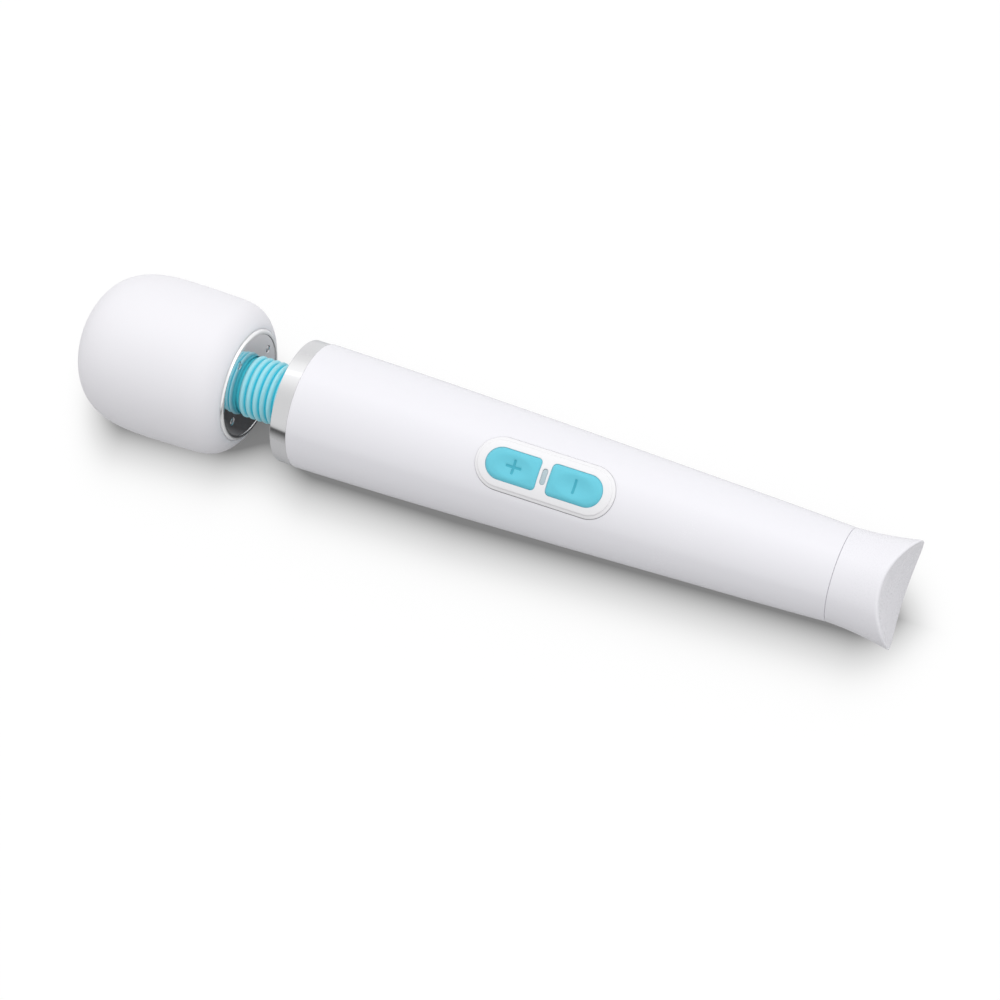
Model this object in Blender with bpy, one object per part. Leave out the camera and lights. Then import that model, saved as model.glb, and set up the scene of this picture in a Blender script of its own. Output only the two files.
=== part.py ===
"""Handheld wand massager, in metres.

+X runs from the head to the tail along the wand, +Z is the control panel's normal, and the
origin is the middle of the wand on its long axis. Sizes below are in millimetres. A station is
a distance along the wand from the tail tips, so it grows towards the head. "Front" means the
head side of a piece and "rear" its tail side. Outlines are lists of (station, radius), or
(height, radius) for the pieces spun about an upright line.
"""

import math

import bmesh
import bpy
from mathutils import Matrix, Vector

for old in list(bpy.data.objects):
    bpy.data.objects.remove(old, do_unlink=True)

# ---------------------------------------------------------------- driving dimensions
MILLI = 0.001  # metres in a millimetre
LENGTH = 340.0
SEAM = 24.3  # front of the tail cap's outside
SHELL_FRONT = 239.5
COLLAR_FRONT = 246.35
PLATE_REAR = 268.0  # rear face of the head's back plate
WALL = 2.2  # handle shell
GAP = 0.35  # between neighbouring outside pieces

# outside of the handle: (station, radius)
HANDLE = [
    (SEAM, 18.0), (55.0, 19.35), (85.8, 20.4), (116.5, 21.6),
    (147.3, 22.65), (178.0, 23.55), (208.8, 24.4), (SHELL_FRONT, 24.875),
]
SEAM_RADIUS = HANDLE[0][1]

PANEL_MID, PANEL_LONG, PANEL_WIDE = 136.1, 55.2, 20.2
JACK_STATION = 44.0
SHARP_ANGLE = 40.0  # degrees; steeper edges are shaded sharp


def wand_x(station):
    return (LENGTH / 2 - station) * MILLI


def handle_radius(station):
    """Outside radius at a station on the handle, between the table's points."""
    for (rear, rear_radius), (front, front_radius) in zip(HANDLE, HANDLE[1:]):
        if station <= front:
            rise = front_radius - rear_radius
            return rear_radius + rise * (station - rear) / (front - rear)


# ---------------------------------------------------------------- materials
WHITE = dict(color=(0.82, 0.82, 0.84), roughness=0.22, coat=0.4)
SILICONE = dict(color=(0.86, 0.86, 0.87))
TEAL = dict(color=(0.08, 0.58, 0.68), roughness=0.45)
CHROME = dict(color=(0.78, 0.78, 0.8), metallic=1.0, roughness=0.08)
STEEL = dict(color=(0.42, 0.42, 0.45), metallic=1.0, roughness=0.25)
DARK = dict(color=(0.06, 0.06, 0.07))
BOARD = dict(color=(0.03, 0.22, 0.1), roughness=0.45)
CELL = dict(color=(0.12, 0.25, 0.5), roughness=0.35)
COPPER = dict(color=(0.72, 0.4, 0.22), metallic=1.0, roughness=0.3)
BRASS = dict(color=(0.7, 0.55, 0.25), metallic=1.0, roughness=0.3)
NICKEL = dict(color=(0.6, 0.59, 0.56), metallic=1.0, roughness=0.3)
SMOKE = dict(color=(0.45, 0.56, 0.66), roughness=0.15)
GREY = dict(color=(0.35, 0.36, 0.38))


def material(name, color, metallic=0.0, roughness=0.5, coat=0.0):
    made = bpy.data.materials.new(name)
    made.use_nodes = True
    inputs = made.node_tree.nodes["Principled BSDF"].inputs
    inputs["Base Color"].default_value = (*color, 1.0)
    inputs["Metallic"].default_value = metallic
    inputs["Roughness"].default_value = roughness
    inputs["Coat Weight"].default_value = coat
    made.diffuse_color = (*color, 1.0)
    return made


# ---------------------------------------------------------------- shape helpers
def finish(body, name, look, smooth=True):
    """Turn a bmesh into an object. A look of None makes a hidden helper for a boolean."""
    bmesh.ops.remove_doubles(body, verts=body.verts, dist=1e-7)
    bmesh.ops.dissolve_degenerate(body, edges=body.edges, dist=1e-7)
    bmesh.ops.recalc_face_normals(body, faces=body.faces)
    if body.calc_volume(signed=True) < 0:
        bmesh.ops.reverse_faces(body, faces=body.faces)
    for face in body.faces:
        face.smooth = smooth
    for edge in body.edges:
        if len(edge.link_faces) == 2 and edge.calc_face_angle(0.0) > math.radians(SHARP_ANGLE):
            edge.smooth = False
    mesh = bpy.data.meshes.new(name)
    body.to_mesh(mesh)
    body.free()
    piece = bpy.data.objects.new(name, mesh)
    bpy.context.scene.collection.objects.link(piece)
    if look is None:
        piece.hide_render = True
        piece.display_type = "WIRE"
    else:
        mesh.materials.append(material(name, **look))
    return piece


def spin(name, corners, radii, centre, axis, look, segments):
    """Spin closed corners a full turn, leaving out edges that lie on the axis."""
    body = bmesh.new()
    verts = [body.verts.new(corner) for corner in corners]
    edges = []
    for i in range(len(verts)):
        after = (i + 1) % len(verts)
        if not (radii[i] == 0 and radii[after] == 0):
            edges.append(body.edges.new((verts[i], verts[after])))
    bmesh.ops.spin(
        body, geom=verts + edges, cent=Vector(centre), axis=axis, dvec=(0, 0, 0),
        angle=2 * math.pi, steps=segments, use_merge=True, use_duplicate=False)
    return finish(body, name, look)


def spun(name, outline, look, segments=24, y=0.0, z=0.0):
    """An outline of (station, radius) spun about a line along the wand through y, z."""
    y, z = y * MILLI, z * MILLI
    corners = [(wand_x(station), y, z + radius * MILLI) for station, radius in outline]
    radii = [radius for _, radius in outline]
    return spin(name, corners, radii, (0.0, y, z), (1, 0, 0), look, segments)


def spun_upright(name, outline, look, segments, station, y=0.0):
    """An outline of (height, radius) spun about a line along Z."""
    x, y = wand_x(station), y * MILLI
    corners = [(x + radius * MILLI, y, height * MILLI) for height, radius in outline]
    radii = [radius for _, radius in outline]
    return spin(name, corners, radii, (x, y, 0.0), (0, 0, 1), look, segments)


def upright_cutter(name, low, high, radius, segments, station):
    outline = [(low, 0.0), (low, radius), (high, radius), (high, 0.0)]
    return spun_upright(name, outline, None, segments, station)


def loft(name, rings, look, smooth=True):
    """A solid through rings of matching (x, y, z) points in metres, closed at both ends."""
    body = bmesh.new()
    rings = [[body.verts.new(point) for point in ring] for ring in rings]
    count = len(rings[0])
    for ring, following in zip(rings, rings[1:]):
        for i in range(count):
            j = (i + 1) % count
            body.faces.new((ring[i], ring[j], following[j], following[i]))
    body.faces.new(rings[0])
    body.faces.new(rings[-1])
    return finish(body, name, look, smooth)


def swept_arc(name, outline, look, start, end, steps):
    """An outline over part of a turn about the long axis, in degrees from +Y towards +Z."""
    rings = []
    for k in range(steps + 1):
        turn = math.radians(start + (end - start) * k / steps)
        rings.append([
            (wand_x(station), radius * MILLI * math.cos(turn), radius * MILLI * math.sin(turn))
            for station, radius in outline])
    return loft(name, rings, look)


def slab(name, outline, low, high, look):
    """A flat outline of (x, y) in metres, raised from the height low to high."""
    rings = [[(x, y, height * MILLI) for x, y in outline] for height in (low, high)]
    return loft(name, rings, look, smooth=False)


def block(name, rear, front, half_width, low, high, look, bevel=0.0):
    """A box between two stations and two heights, centred on y = 0."""
    y = half_width * MILLI
    corners = [(wand_x(front), -y), (wand_x(rear), -y), (wand_x(rear), y), (wand_x(front), y)]
    piece = slab(name, corners, low, high, look)
    if bevel:
        edge = piece.modifiers.new("edge", "BEVEL")
        edge.width = bevel * MILLI
        edge.segments = 2
        edge.limit_method = "ANGLE"
    return piece


def rod_helper(name, centres, radius, depth, segments, turn=Matrix()):
    """Round helper bodies at centres in metres, along Z unless turned."""
    body = bmesh.new()
    for centre in centres:
        bmesh.ops.create_cone(
            body, cap_ends=True, segments=segments, radius1=radius * MILLI,
            radius2=radius * MILLI, depth=depth * MILLI,
            matrix=Matrix.Translation(centre) @ turn)
    return finish(body, name, None)


def rods_along(name, spots, rear, front, radius, segments):
    """Round helper bodies along the wand at several (y, z) spots."""
    x = wand_x((rear + front) / 2)
    centres = [(x, y * MILLI, z * MILLI) for y, z in spots]
    turn = Matrix.Rotation(math.pi / 2, 4, "Y")
    return rod_helper(name, centres, radius, front - rear, segments, turn)


def combine(piece, operation, tool):
    boolean = piece.modifiers.new(operation.lower(), "BOOLEAN")
    boolean.operation = operation
    boolean.solver = "EXACT"
    boolean.object = tool


def cut(piece, tool):
    combine(piece, "DIFFERENCE", tool)


def fuse(piece, tool):
    combine(piece, "UNION", tool)


def trim(piece, tool):
    combine(piece, "INTERSECT", tool)


# ---------------------------------------------------------------- head
HEAD_OUTSIDE = [
    (268.3, 22.75), (269.4, 24.9), (272.0, 27.9), (276.5, 30.4), (281.6, 31.1),
    (300.0, 31.65), (311.5, 31.35), (319.0, 30.2), (326.7, 27.0), (331.1, 22.9),
    (335.0, 16.3), (338.2, 8.6), (340.0, 0.0),
]
HEAD_INSIDE = [
    (334.4, 0.0), (328.5, 18.6), (321.0, 24.6), (312.0, 27.0), (284.0, 27.1),
    (274.0, 26.3), (271.8, 22.7),
]
spun("head_cushion", HEAD_OUTSIDE + HEAD_INSIDE, SILICONE, segments=36)

HOUSING = [
    (274.4, 25.9), (284.0, 26.6), (311.8, 26.5), (320.5, 24.2), (327.8, 18.3),
    (332.4, 4.6), (332.4, 0.0), (330.4, 0.0), (330.4, 6.0), (322.0, 6.0),
    (322.0, 8.0), (325.5, 16.4), (318.6, 22.6), (311.2, 24.5), (274.4, 24.0),
]
spun("head_housing", HOUSING, GREY)

# the bezel's rear edge is half an ellipse in section
BEZEL_STATION, BEZEL_RADIUS = 268.5, 21.5
BEZEL_DEPTH, BEZEL_HALF_WIDTH, BEZEL_STEPS = 1.35, 0.8, 4
bezel = []
for k in range(BEZEL_STEPS + 1):
    angle = math.radians(180 * k / BEZEL_STEPS)
    bezel.append((BEZEL_STATION - BEZEL_DEPTH * math.sin(angle),
                  BEZEL_RADIUS + BEZEL_HALF_WIDTH * math.cos(angle)))
spun("head_bezel", bezel + [(270.2, 20.7), (270.2, 22.3)], CHROME, segments=32)

# back plate and its four screws
HEAD_SCREW_CIRCLE = 16.6  # radius
HEAD_SCREW_TURN = -19.0  # degrees from +Y towards +Z
HEAD_SCREW_COUNT = 4
head_screws = []
for k in range(HEAD_SCREW_COUNT):
    angle = math.radians(HEAD_SCREW_TURN + 90 * k)
    head_screws.append((HEAD_SCREW_CIRCLE * math.cos(angle), HEAD_SCREW_CIRCLE * math.sin(angle)))

BACK_PLATE = [
    (PLATE_REAR, 11.6), (PLATE_REAR, 13.2), (PLATE_REAR, 20.0), (PLATE_REAR + 0.3, 20.35),
    (PLATE_REAR + 1.6, 20.35), (PLATE_REAR + 1.6, 11.6),
]
plate = spun("head_back_plate", BACK_PLATE, CHROME, segments=32)
cut(plate, rods_along("plate_holes", head_screws, PLATE_REAR - 3, PLATE_REAR + 4, 1.75, 14))

HEAD_SCREW = [
    (PLATE_REAR - 0.2, 0.0), (PLATE_REAR - 0.2, 1.1), (PLATE_REAR, 1.4),
    (PLATE_REAR + 1.2, 1.4), (PLATE_REAR + 1.2, 0.75), (PLATE_REAR + 7.0, 0.75),
    (PLATE_REAR + 7.0, 0.0),
]
for n, (y, z) in enumerate(head_screws, 1):
    spun(f"back_plate_screw_{n}", HEAD_SCREW, NICKEL, segments=14, y=y, z=z)

# bearing plate in front of the back plate, with bosses for the four screws
BEARING_PLATE = [
    (274.6, 9.0), (274.6, 23.4), (279.6, 23.4), (279.6, 21.6), (277.0, 21.6), (277.0, 9.0),
]
bearing_plate = spun("head_bearing_plate", BEARING_PLATE, GREY)
fuse(bearing_plate, rods_along("boss_rods", head_screws, 270.3, 276.0, 2.6, 12))
cut(bearing_plate, rods_along("boss_holes", head_screws, 269.5, 276.2, 1.1, 10))

# bearings, shaft and eccentric weight
SHAFT = [(269.0, 0.0), (269.0, 2.4), (269.6, 3.0), (326.4, 3.0), (326.9, 2.5), (326.9, 0.0)]
spun("bearing_rear", [(274.3, 3.4), (274.3, 8.6), (278.3, 8.6), (278.3, 3.4)], NICKEL)
spun("bearing_front", [(323.0, 3.4), (323.0, 5.6), (327.4, 5.6), (327.4, 3.4)], NICKEL,
     segments=20)
spun("eccentric_shaft", SHAFT, STEEL, segments=20)

WEIGHT_REAR, WEIGHT_FRONT, WEIGHT_BORE = 285.0, 311.0, 3.4
WEIGHT = [
    (WEIGHT_REAR, WEIGHT_BORE), (WEIGHT_REAR, 18.0), (WEIGHT_REAR + 1.0, 19.0),
    (WEIGHT_FRONT - 1.0, 19.0), (WEIGHT_FRONT, 18.0), (WEIGHT_FRONT, WEIGHT_BORE),
]
WEIGHT_HUB = [
    (WEIGHT_REAR, WEIGHT_BORE), (WEIGHT_REAR, 6.4), (WEIGHT_FRONT, 6.4),
    (WEIGHT_FRONT, WEIGHT_BORE),
]
weight = swept_arc("eccentric_weight", WEIGHT, BRASS, 180, 360, 14)
fuse(weight, spun("weight_hub", WEIGHT_HUB, None))

# ---------------------------------------------------------------- neck
RIB_FIRST, RIB_PITCH, RIB_COUNT = 248.05, 2.93, 7
RIB_TIP, RIB_ROOT = 12.4, 10.9
NECK_BORE = 8.4
bellows = [(243.0, 17.0), (243.0, 13.4), (243.2, 12.0), (246.6, 12.0)]
for rib in range(RIB_COUNT):
    tip = RIB_FIRST + rib * RIB_PITCH
    bellows += [(tip, RIB_TIP), (tip + RIB_PITCH / 2, RIB_ROOT)]
bellows.pop()  # the front end below takes the place of the last root
bellows += [
    (PLATE_REAR - 0.35, RIB_ROOT), (PLATE_REAR + 1.9, RIB_ROOT), (PLATE_REAR + 1.95, 12.6),
    (PLATE_REAR + 3.9, 12.0), (PLATE_REAR + 3.9, NECK_BORE), (240.2, NECK_BORE), (240.2, 17.0),
]
spun("neck_bellows", bellows, TEAL)

# the drive spring, a round wire in open turns
SPRING_REAR, SPRING_FRONT, SPRING_TURNS = 244.6, 268.2, 5.0
WIRE_RADIUS, COIL_RADIUS = 0.75, 4.3
STEPS_PER_TURN, WIRE_SIDES = 11, 5
spring_steps = int(SPRING_TURNS * STEPS_PER_TURN)
spring_rings = []
for i in range(spring_steps + 1):
    turn = 2 * math.pi * SPRING_TURNS * i / spring_steps
    station = SPRING_REAR + (SPRING_FRONT - SPRING_REAR) * i / spring_steps
    ring = []
    for j in range(WIRE_SIDES):
        around = 2 * math.pi * j / WIRE_SIDES
        radius = COIL_RADIUS + WIRE_RADIUS * math.cos(around)
        ring.append((wand_x(station + WIRE_RADIUS * math.sin(around)),
                     radius * math.cos(turn) * MILLI, radius * math.sin(turn) * MILLI))
    spring_rings.append(ring)
loft("drive_spring", spring_rings, STEEL)

# ---------------------------------------------------------------- collar and motor
COLLAR_REAR = SHELL_FRONT + GAP
COLLAR = [
    (COLLAR_REAR, 24.2), (COLLAR_REAR + 0.15, 24.5), (COLLAR_FRONT - 0.5, 24.5),
    (COLLAR_FRONT - 0.15, 24.35), (COLLAR_FRONT, 24.0), (COLLAR_FRONT, 13.2),
    (COLLAR_FRONT - 0.4, 12.8), (243.4, 12.8), (243.4, 21.9), (234.0, 21.6), (234.0, 22.0),
    (COLLAR_REAR, 22.15),
]
spun("collar_ring", COLLAR, CHROME, segments=32)

MOTOR_SCREW_SPOTS = [(0.0, 8.5), (0.0, -8.5)]  # (y, z)
MOTOR_HOLE = 1.5  # radius
MOTOR_SCREW = [(239.9, 0.0), (239.9, 1.1), (232.0, 1.1), (232.0, 0.0)]
mount = spun("motor_mount", [(237.3, 4.0), (237.3, 21.1), (239.8, 21.1), (239.8, 4.0)], GREY)
cut(mount, rods_along("mount_holes", MOTOR_SCREW_SPOTS, 236.0, 241.0, MOTOR_HOLE, 16))
for n, (y, z) in enumerate(MOTOR_SCREW_SPOTS, 1):
    spun(f"motor_screw_{n}", MOTOR_SCREW, NICKEL, segments=12, y=y, z=z)

CAN = [
    (197.5, 17.4), (235.8, 17.4), (236.8, 16.4), (236.8, 1.9),
    (234.4, 1.9), (234.4, 15.9), (197.5, 15.9),
]
can = spun("motor_can", CAN, STEEL)
cut(can, rods_along("can_holes", MOTOR_SCREW_SPOTS, 230.0, 240.0, MOTOR_HOLE, 16))

END_CAP = [
    (194.6, 1.9), (194.6, 15.0), (196.0, 17.2), (197.1, 17.2),
    (197.1, 15.5), (199.6, 15.5), (199.6, 1.9),
]
spun("motor_end_cap", END_CAP, DARK)

MAGNET = [(203.0, 12.4), (203.0, 15.4), (229.0, 15.4), (229.0, 12.4)]
for n, (start, end) in enumerate(((20, 160), (200, 340)), 1):
    swept_arc(f"motor_magnet_{n}", MAGNET, DARK, start, end, 10)

ROTOR = [
    (192.5, 0.0), (192.5, 1.5), (201.0, 1.5), (201.0, 5.0), (205.5, 5.0), (205.5, 11.8),
    (226.5, 11.8), (226.5, 4.0), (228.0, 4.0), (228.0, 1.5), (242.9, 1.5), (242.9, 0.0),
]
spun("motor_rotor", ROTOR, COPPER, segments=16)

DRIVE_HUB = [
    (240.4, 1.85), (240.4, 5.2), (243.6, 5.2), (243.6, 3.0),
    (248.0, 2.9), (248.0, 0.0), (243.4, 0.0), (243.4, 1.85),
]
spun("drive_hub", DRIVE_HUB, BRASS, segments=16)


# ---------------------------------------------------------------- panel outlines
BUTTON_LONG, BUTTON_WIDE = 20.2, 11.7
BUTTON_NEAR = 2.75  # from the panel's middle to the straight edge
BUTTON_CORNER = 1.4
BUTTON_SIDES = {"plus": 1, "minus": -1}  # +1 is towards the head
SWITCH_INSET = 1.0  # switch centre, from the button's middle towards the panel's
LED_STATION = 136.3
WINDOW_LONG, WINDOW_WIDE, WINDOW_GAP = 6.4, 2.4, 0.31


def panel_outline(grow, steps=12):
    """A racetrack along the wand, grown all round."""
    radius = (PANEL_WIDE + 2 * grow) / 2
    half = (PANEL_LONG + 2 * grow) / 2 - radius
    points = []
    for side in (1, -1):
        for k in range(steps + 1):
            angle = math.radians(-90 + 180 * k / steps)
            points.append((wand_x(PANEL_MID) + side * (half + radius * math.cos(angle)) * MILLI,
                           side * radius * math.sin(angle) * MILLI))
    return points


def button_outline(side, grow, corner, steps=12):
    """Straight edge towards the panel's middle, half round at the outer end."""
    near = BUTTON_NEAR - grow
    long = BUTTON_LONG + 2 * grow
    radius = (BUTTON_WIDE + 2 * grow) / 2
    points = []
    for k in range(steps + 1):
        angle = math.radians(-90 + 180 * k / steps)
        points.append((near + long - radius + radius * math.cos(angle),
                       radius * math.sin(angle)))
    for y, start in ((radius - corner, 90), (-radius + corner, 180)):
        for k in range(4):
            angle = math.radians(start + 90 * k / 3)
            points.append((near + corner + corner * math.cos(angle),
                           y + corner * math.sin(angle)))
    return [(wand_x(PANEL_MID) - side * x * MILLI, y * MILLI) for x, y in points]


def window_outline(grow, steps=8):
    """A capsule lying across the wand, grown all round."""
    radius = (WINDOW_WIDE + 2 * grow) / 2
    half = (WINDOW_LONG + 2 * grow) / 2 - radius
    points = []
    for side in (1, -1):
        for k in range(steps + 1):
            angle = math.radians(180 * k / steps)
            points.append((wand_x(LED_STATION) + side * radius * math.cos(angle) * MILLI,
                           side * (half + radius * math.sin(angle)) * MILLI))
    return points


def skin(name, lift, rear=100.0, front=172.0):
    """A helper solid that follows the handle's outside, lifted off it."""
    stations = [rear] + [station for station, _ in HANDLE if rear < station < front] + [front]
    outline = [(station, handle_radius(station) + lift) for station in stations]
    return spun(name, [(rear, 0.0)] + outline + [(front, 0.0)], None, segments=80)


def button_station(side):
    return PANEL_MID + side * (BUTTON_NEAR + BUTTON_LONG / 2 - SWITCH_INSET)


# ---------------------------------------------------------------- handle shell
SHELL_REAR = SEAM + GAP
shell_outside = [(SHELL_REAR, SEAM_RADIUS - 0.25), (SHELL_REAR + 0.25, SEAM_RADIUS)]
shell_outside += HANDLE[1:-1]
shell_outside += [
    (SHELL_FRONT - 1.6, handle_radius(SHELL_FRONT - 1.6)), (SHELL_FRONT - 0.5, 24.5),
    (SHELL_FRONT, 23.75),
]
shell_inside = [(SHELL_FRONT, 22.65)]
shell_inside += [(station, radius - WALL) for station, radius in HANDLE[-2:0:-1]]
shell_inside += [(SHELL_REAR, SEAM_RADIUS - WALL)]
shell = spun("handle_shell", shell_outside + shell_inside, WHITE, segments=36)
cut(shell, slab("panel_opening", panel_outline(GAP), 5, 40, None))
cut(shell, upright_cutter("jack_opening", -40.0, -8.0, 3.6, 18, JACK_STATION))

# ---------------------------------------------------------------- control panel
# heights above the long axis
BOARD_TOP = 12.4
BOARD_THICK = 1.6
STANDOFF = 0.31  # under the switches and the LED
SWITCH_TOP = 15.0
FLANGE_LOW, FLANGE_TOP = 16.2, 17.4
# how far the pieces stand proud of the handle
RIM_LIFT, FRAME_LIFT, WINDOW_LIFT, BUTTON_LIFT = 0.25, 0.85, 0.7, 1.15
RIM_WIDTH = 1.3  # step round the raised middle of the frame
FLANGE_RIM = 1.0
GLYPH_DEPTH = 0.75
SWITCH_HALF = 3.1
# strokes of the sunk marks: (size along the wand, size across it)
GLYPHS = {"plus": [(5.8, 1.05), (1.05, 5.6)], "minus": [(1.05, 5.4)]}

# the frame: a low rim and a raised middle, hollowed below and holed for buttons and window
frame = slab("panel_frame", panel_outline(0.0), 14, 40, WHITE)
trim(frame, skin("frame_low_skin", RIM_LIFT))
frame_upper = slab("frame_upper", panel_outline(-RIM_WIDTH), 14, 40, None)
trim(frame_upper, skin("frame_high_skin", FRAME_LIFT))
fuse(frame, frame_upper)
cut(frame, skin("frame_under_skin", -1.9, rear=90.0, front=182.0))
for sign, side in BUTTON_SIDES.items():
    hole = button_outline(side, GAP, BUTTON_CORNER + GAP)
    cut(frame, slab(f"frame_hole_{sign}", hole, 5, 45, None))
cut(frame, slab("frame_hole_led", window_outline(WINDOW_GAP), 5, 45, None))

window = slab("led_window", window_outline(0.0), 15.2, 30, SMOKE)
trim(window, skin("window_skin", WINDOW_LIFT))


def build_button(sign, side):
    """A flanged button with its sunk mark."""
    outline = button_outline(side, 0.0, BUTTON_CORNER)
    button = slab(f"button_{sign}", outline, FLANGE_LOW, 40, TEAL)
    trim(button, skin(f"button_skin_{sign}", BUTTON_LIFT))
    flange = button_outline(side, FLANGE_RIM, 2.0)
    fuse(button, slab(f"button_flange_{sign}", flange, FLANGE_LOW, FLANGE_TOP, None))
    middle = button_station(side)
    top = handle_radius(middle) + BUTTON_LIFT
    for k, (long, wide) in enumerate(GLYPHS[sign]):
        cut(button, block(f"glyph_{sign}_{k}", middle - long / 2, middle + long / 2,
                          wide / 2, top - GLYPH_DEPTH, top + 3, None))


def build_switch(sign, middle):
    """A square switch body with a well, and the plunger that stands in it."""
    switch = block(f"switch_{sign}", middle - SWITCH_HALF, middle + SWITCH_HALF, SWITCH_HALF,
                   BOARD_TOP + STANDOFF, SWITCH_TOP, DARK, bevel=0.25)
    cut(switch, upright_cutter(f"switch_well_{sign}", BOARD_TOP + 0.9, 20.0, 1.75, 20, middle))
    plunger = [
        (BOARD_TOP + 2.05, 0.0), (BOARD_TOP + 2.05, 1.35), (FLANGE_LOW - 0.55, 1.35),
        (FLANGE_LOW - 0.32, 1.1), (FLANGE_LOW - 0.32, 0.0),
    ]
    spun_upright(f"plunger_{sign}", plunger, NICKEL, 18, middle)


for sign, side in BUTTON_SIDES.items():
    build_button(sign, side)
    build_switch(sign, button_station(side))

block("led", LED_STATION - 1.2, LED_STATION + 1.2, 1.6, BOARD_TOP + STANDOFF, 14.6, SMOKE,
      bevel=0.2)

# circuit board and its two screws
BOARD_SCREW_STATIONS = (115.2, 156.8)
BOARD_SCREW = [
    (BOARD_TOP + 0.35, 2.1), (BOARD_TOP + 1.0, 1.7), (BOARD_TOP + 1.1, 0.0),
    (BOARD_TOP - 2.8, 0.0), (BOARD_TOP - 2.8, 1.0), (BOARD_TOP + 0.35, 1.0),
]
board = block("control_board", 112.0, 160.0, 8.6, BOARD_TOP - BOARD_THICK, BOARD_TOP, BOARD)
hole_centres = [(wand_x(station), 0.0, BOARD_TOP * MILLI) for station in BOARD_SCREW_STATIONS]
cut(board, rod_helper("board_holes", hole_centres, radius=1.5, depth=8, segments=16))
for n, station in enumerate(BOARD_SCREW_STATIONS, 1):
    spun_upright(f"board_screw_{n}", BOARD_SCREW, NICKEL, 16, station)

# ---------------------------------------------------------------- cells
# one cell, with its raised pole to the rear: (distance from the cell's rear, radius)
CELL_OUTLINE = [
    (65.0, 0.0), (65.0, 7.8), (64.6, 8.8), (64.2, 9.1), (0.6, 9.1),
    (0.0, 8.6), (0.0, 3.0), (-1.0, 2.8), (-1.0, 0.0),
]
for n, rear in enumerate((36.0, 104.0), 1):
    outline = [(rear + along, radius) for along, radius in CELL_OUTLINE]
    spun(f"battery_cell_{n}", outline, CELL, segments=16)
block("battery_link", 101.4, 101.8, 3.0, -7.0, 7.0, NICKEL)

# ---------------------------------------------------------------- chassis
CHASSIS_REAR, CHASSIS_FRONT = 34.0, 229.2
CHASSIS_CLEAR, CHASSIS_WALL = 0.45, 1.6
CHASSIS_RIBS = [(176.0, 171.0), (66.0, 62.0)]  # (front, rear) stations
CHASSIS_RIB_RADIUS = 9.6
MOTOR_POCKET = [(CHASSIS_FRONT, 17.85), (192.0, 17.85), (192.0, 10.0), (189.0, 10.0)]
BAR_TOP = 10.42


def chassis_radius(station):
    return handle_radius(station) - WALL - CHASSIS_CLEAR


def chassis_outline():
    """Follows the inside of the shell, with ribs in to the cells and a pocket for the motor."""
    stations = (CHASSIS_REAR, 55.0, 85.8, 147.3, 208.8, CHASSIS_FRONT)
    points = [(station, chassis_radius(station)) for station in stations]
    points += MOTOR_POCKET
    points.append((189.0, chassis_radius(189.0) - CHASSIS_WALL))
    for front, rear in CHASSIS_RIBS:
        points += [
            (front, chassis_radius(front) - CHASSIS_WALL), (front, CHASSIS_RIB_RADIUS),
            (rear, CHASSIS_RIB_RADIUS), (rear, chassis_radius(rear) - CHASSIS_WALL),
        ]
    points.append((CHASSIS_REAR, chassis_radius(CHASSIS_REAR) - CHASSIS_WALL))
    return points


# the -Z and +Z halves, just short of a half turn each
lower = swept_arc("chassis_lower", chassis_outline(), GREY, 181.2, 358.8, 12)
upper = swept_arc("chassis_upper", chassis_outline(), GREY, 1.2, 178.8, 12)
cut(upper, block("chassis_window", 105.0, 169.2, 13.5, 10.2, 40, None))

# bars across the window that take the board screws
for station in BOARD_SCREW_STATIONS:
    label = round(station)
    reach = math.sqrt((chassis_radius(station) - 0.7) ** 2 - BAR_TOP ** 2)
    fuse(upper, block(f"board_bar_{label}", station - 2.4, station + 2.4, reach, 9.5, BAR_TOP,
                      None))
    cut(upper, upright_cutter(f"bar_hole_{label}", 5.0, 14.0, 1.4, 14, station))

# four screws hold the halves together: (station, y) and (height, radius)
CHASSIS_SCREW_SPOTS = [(64.0, 12.6), (64.0, -12.6), (173.5, 13.8), (173.5, -13.8)]
CHASSIS_HOLE = [(-7.0, 0.0), (-7.0, 1.65), (5.0, 1.65), (5.0, 2.6), (20.0, 2.6), (20.0, 0.0)]
CHASSIS_SCREW = [
    (6.9, 0.0), (6.9, 1.4), (6.5, 2.1), (5.35, 2.1), (5.35, 1.2), (-6.5, 1.2), (-6.5, 0.0),
]
for n, (station, y) in enumerate(CHASSIS_SCREW_SPOTS):
    hole = spun_upright(f"chassis_hole_{n}", CHASSIS_HOLE, None, 14, station, y)
    cut(upper, hole)
    cut(lower, hole)
    spun_upright(f"chassis_screw_{n + 1}", CHASSIS_SCREW, NICKEL, 12, station, y)
cut(lower, upright_cutter("chassis_jack_hole", -30.0, -9.8, 3.7, 18, JACK_STATION))

# ---------------------------------------------------------------- tail
CAP_OUTSIDE = [
    (SEAM, SEAM_RADIUS - 0.25), (SEAM - 0.3, SEAM_RADIUS + 0.02), (20.0, 18.2), (15.0, 18.6),
    (10.0, 19.15), (5.0, 19.9), (2.0, 20.45), (0.6, 20.8), (0.1, 20.6), (0.0, 20.2),
]
CAP_INSIDE = [
    (0.0, 0.0), (11.0, 0.0), (11.0, 13.4), (33.0, 13.2), (33.0, 15.3), (31.0, 15.4),
    (31.0, 14.2), (28.6, 14.2), (28.6, 15.4), (SEAM + 0.2, 15.4), (SEAM, 15.6),
]
cap = spun("tail_cap", CAP_OUTSIDE + CAP_INSIDE, WHITE, segments=40)

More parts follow.
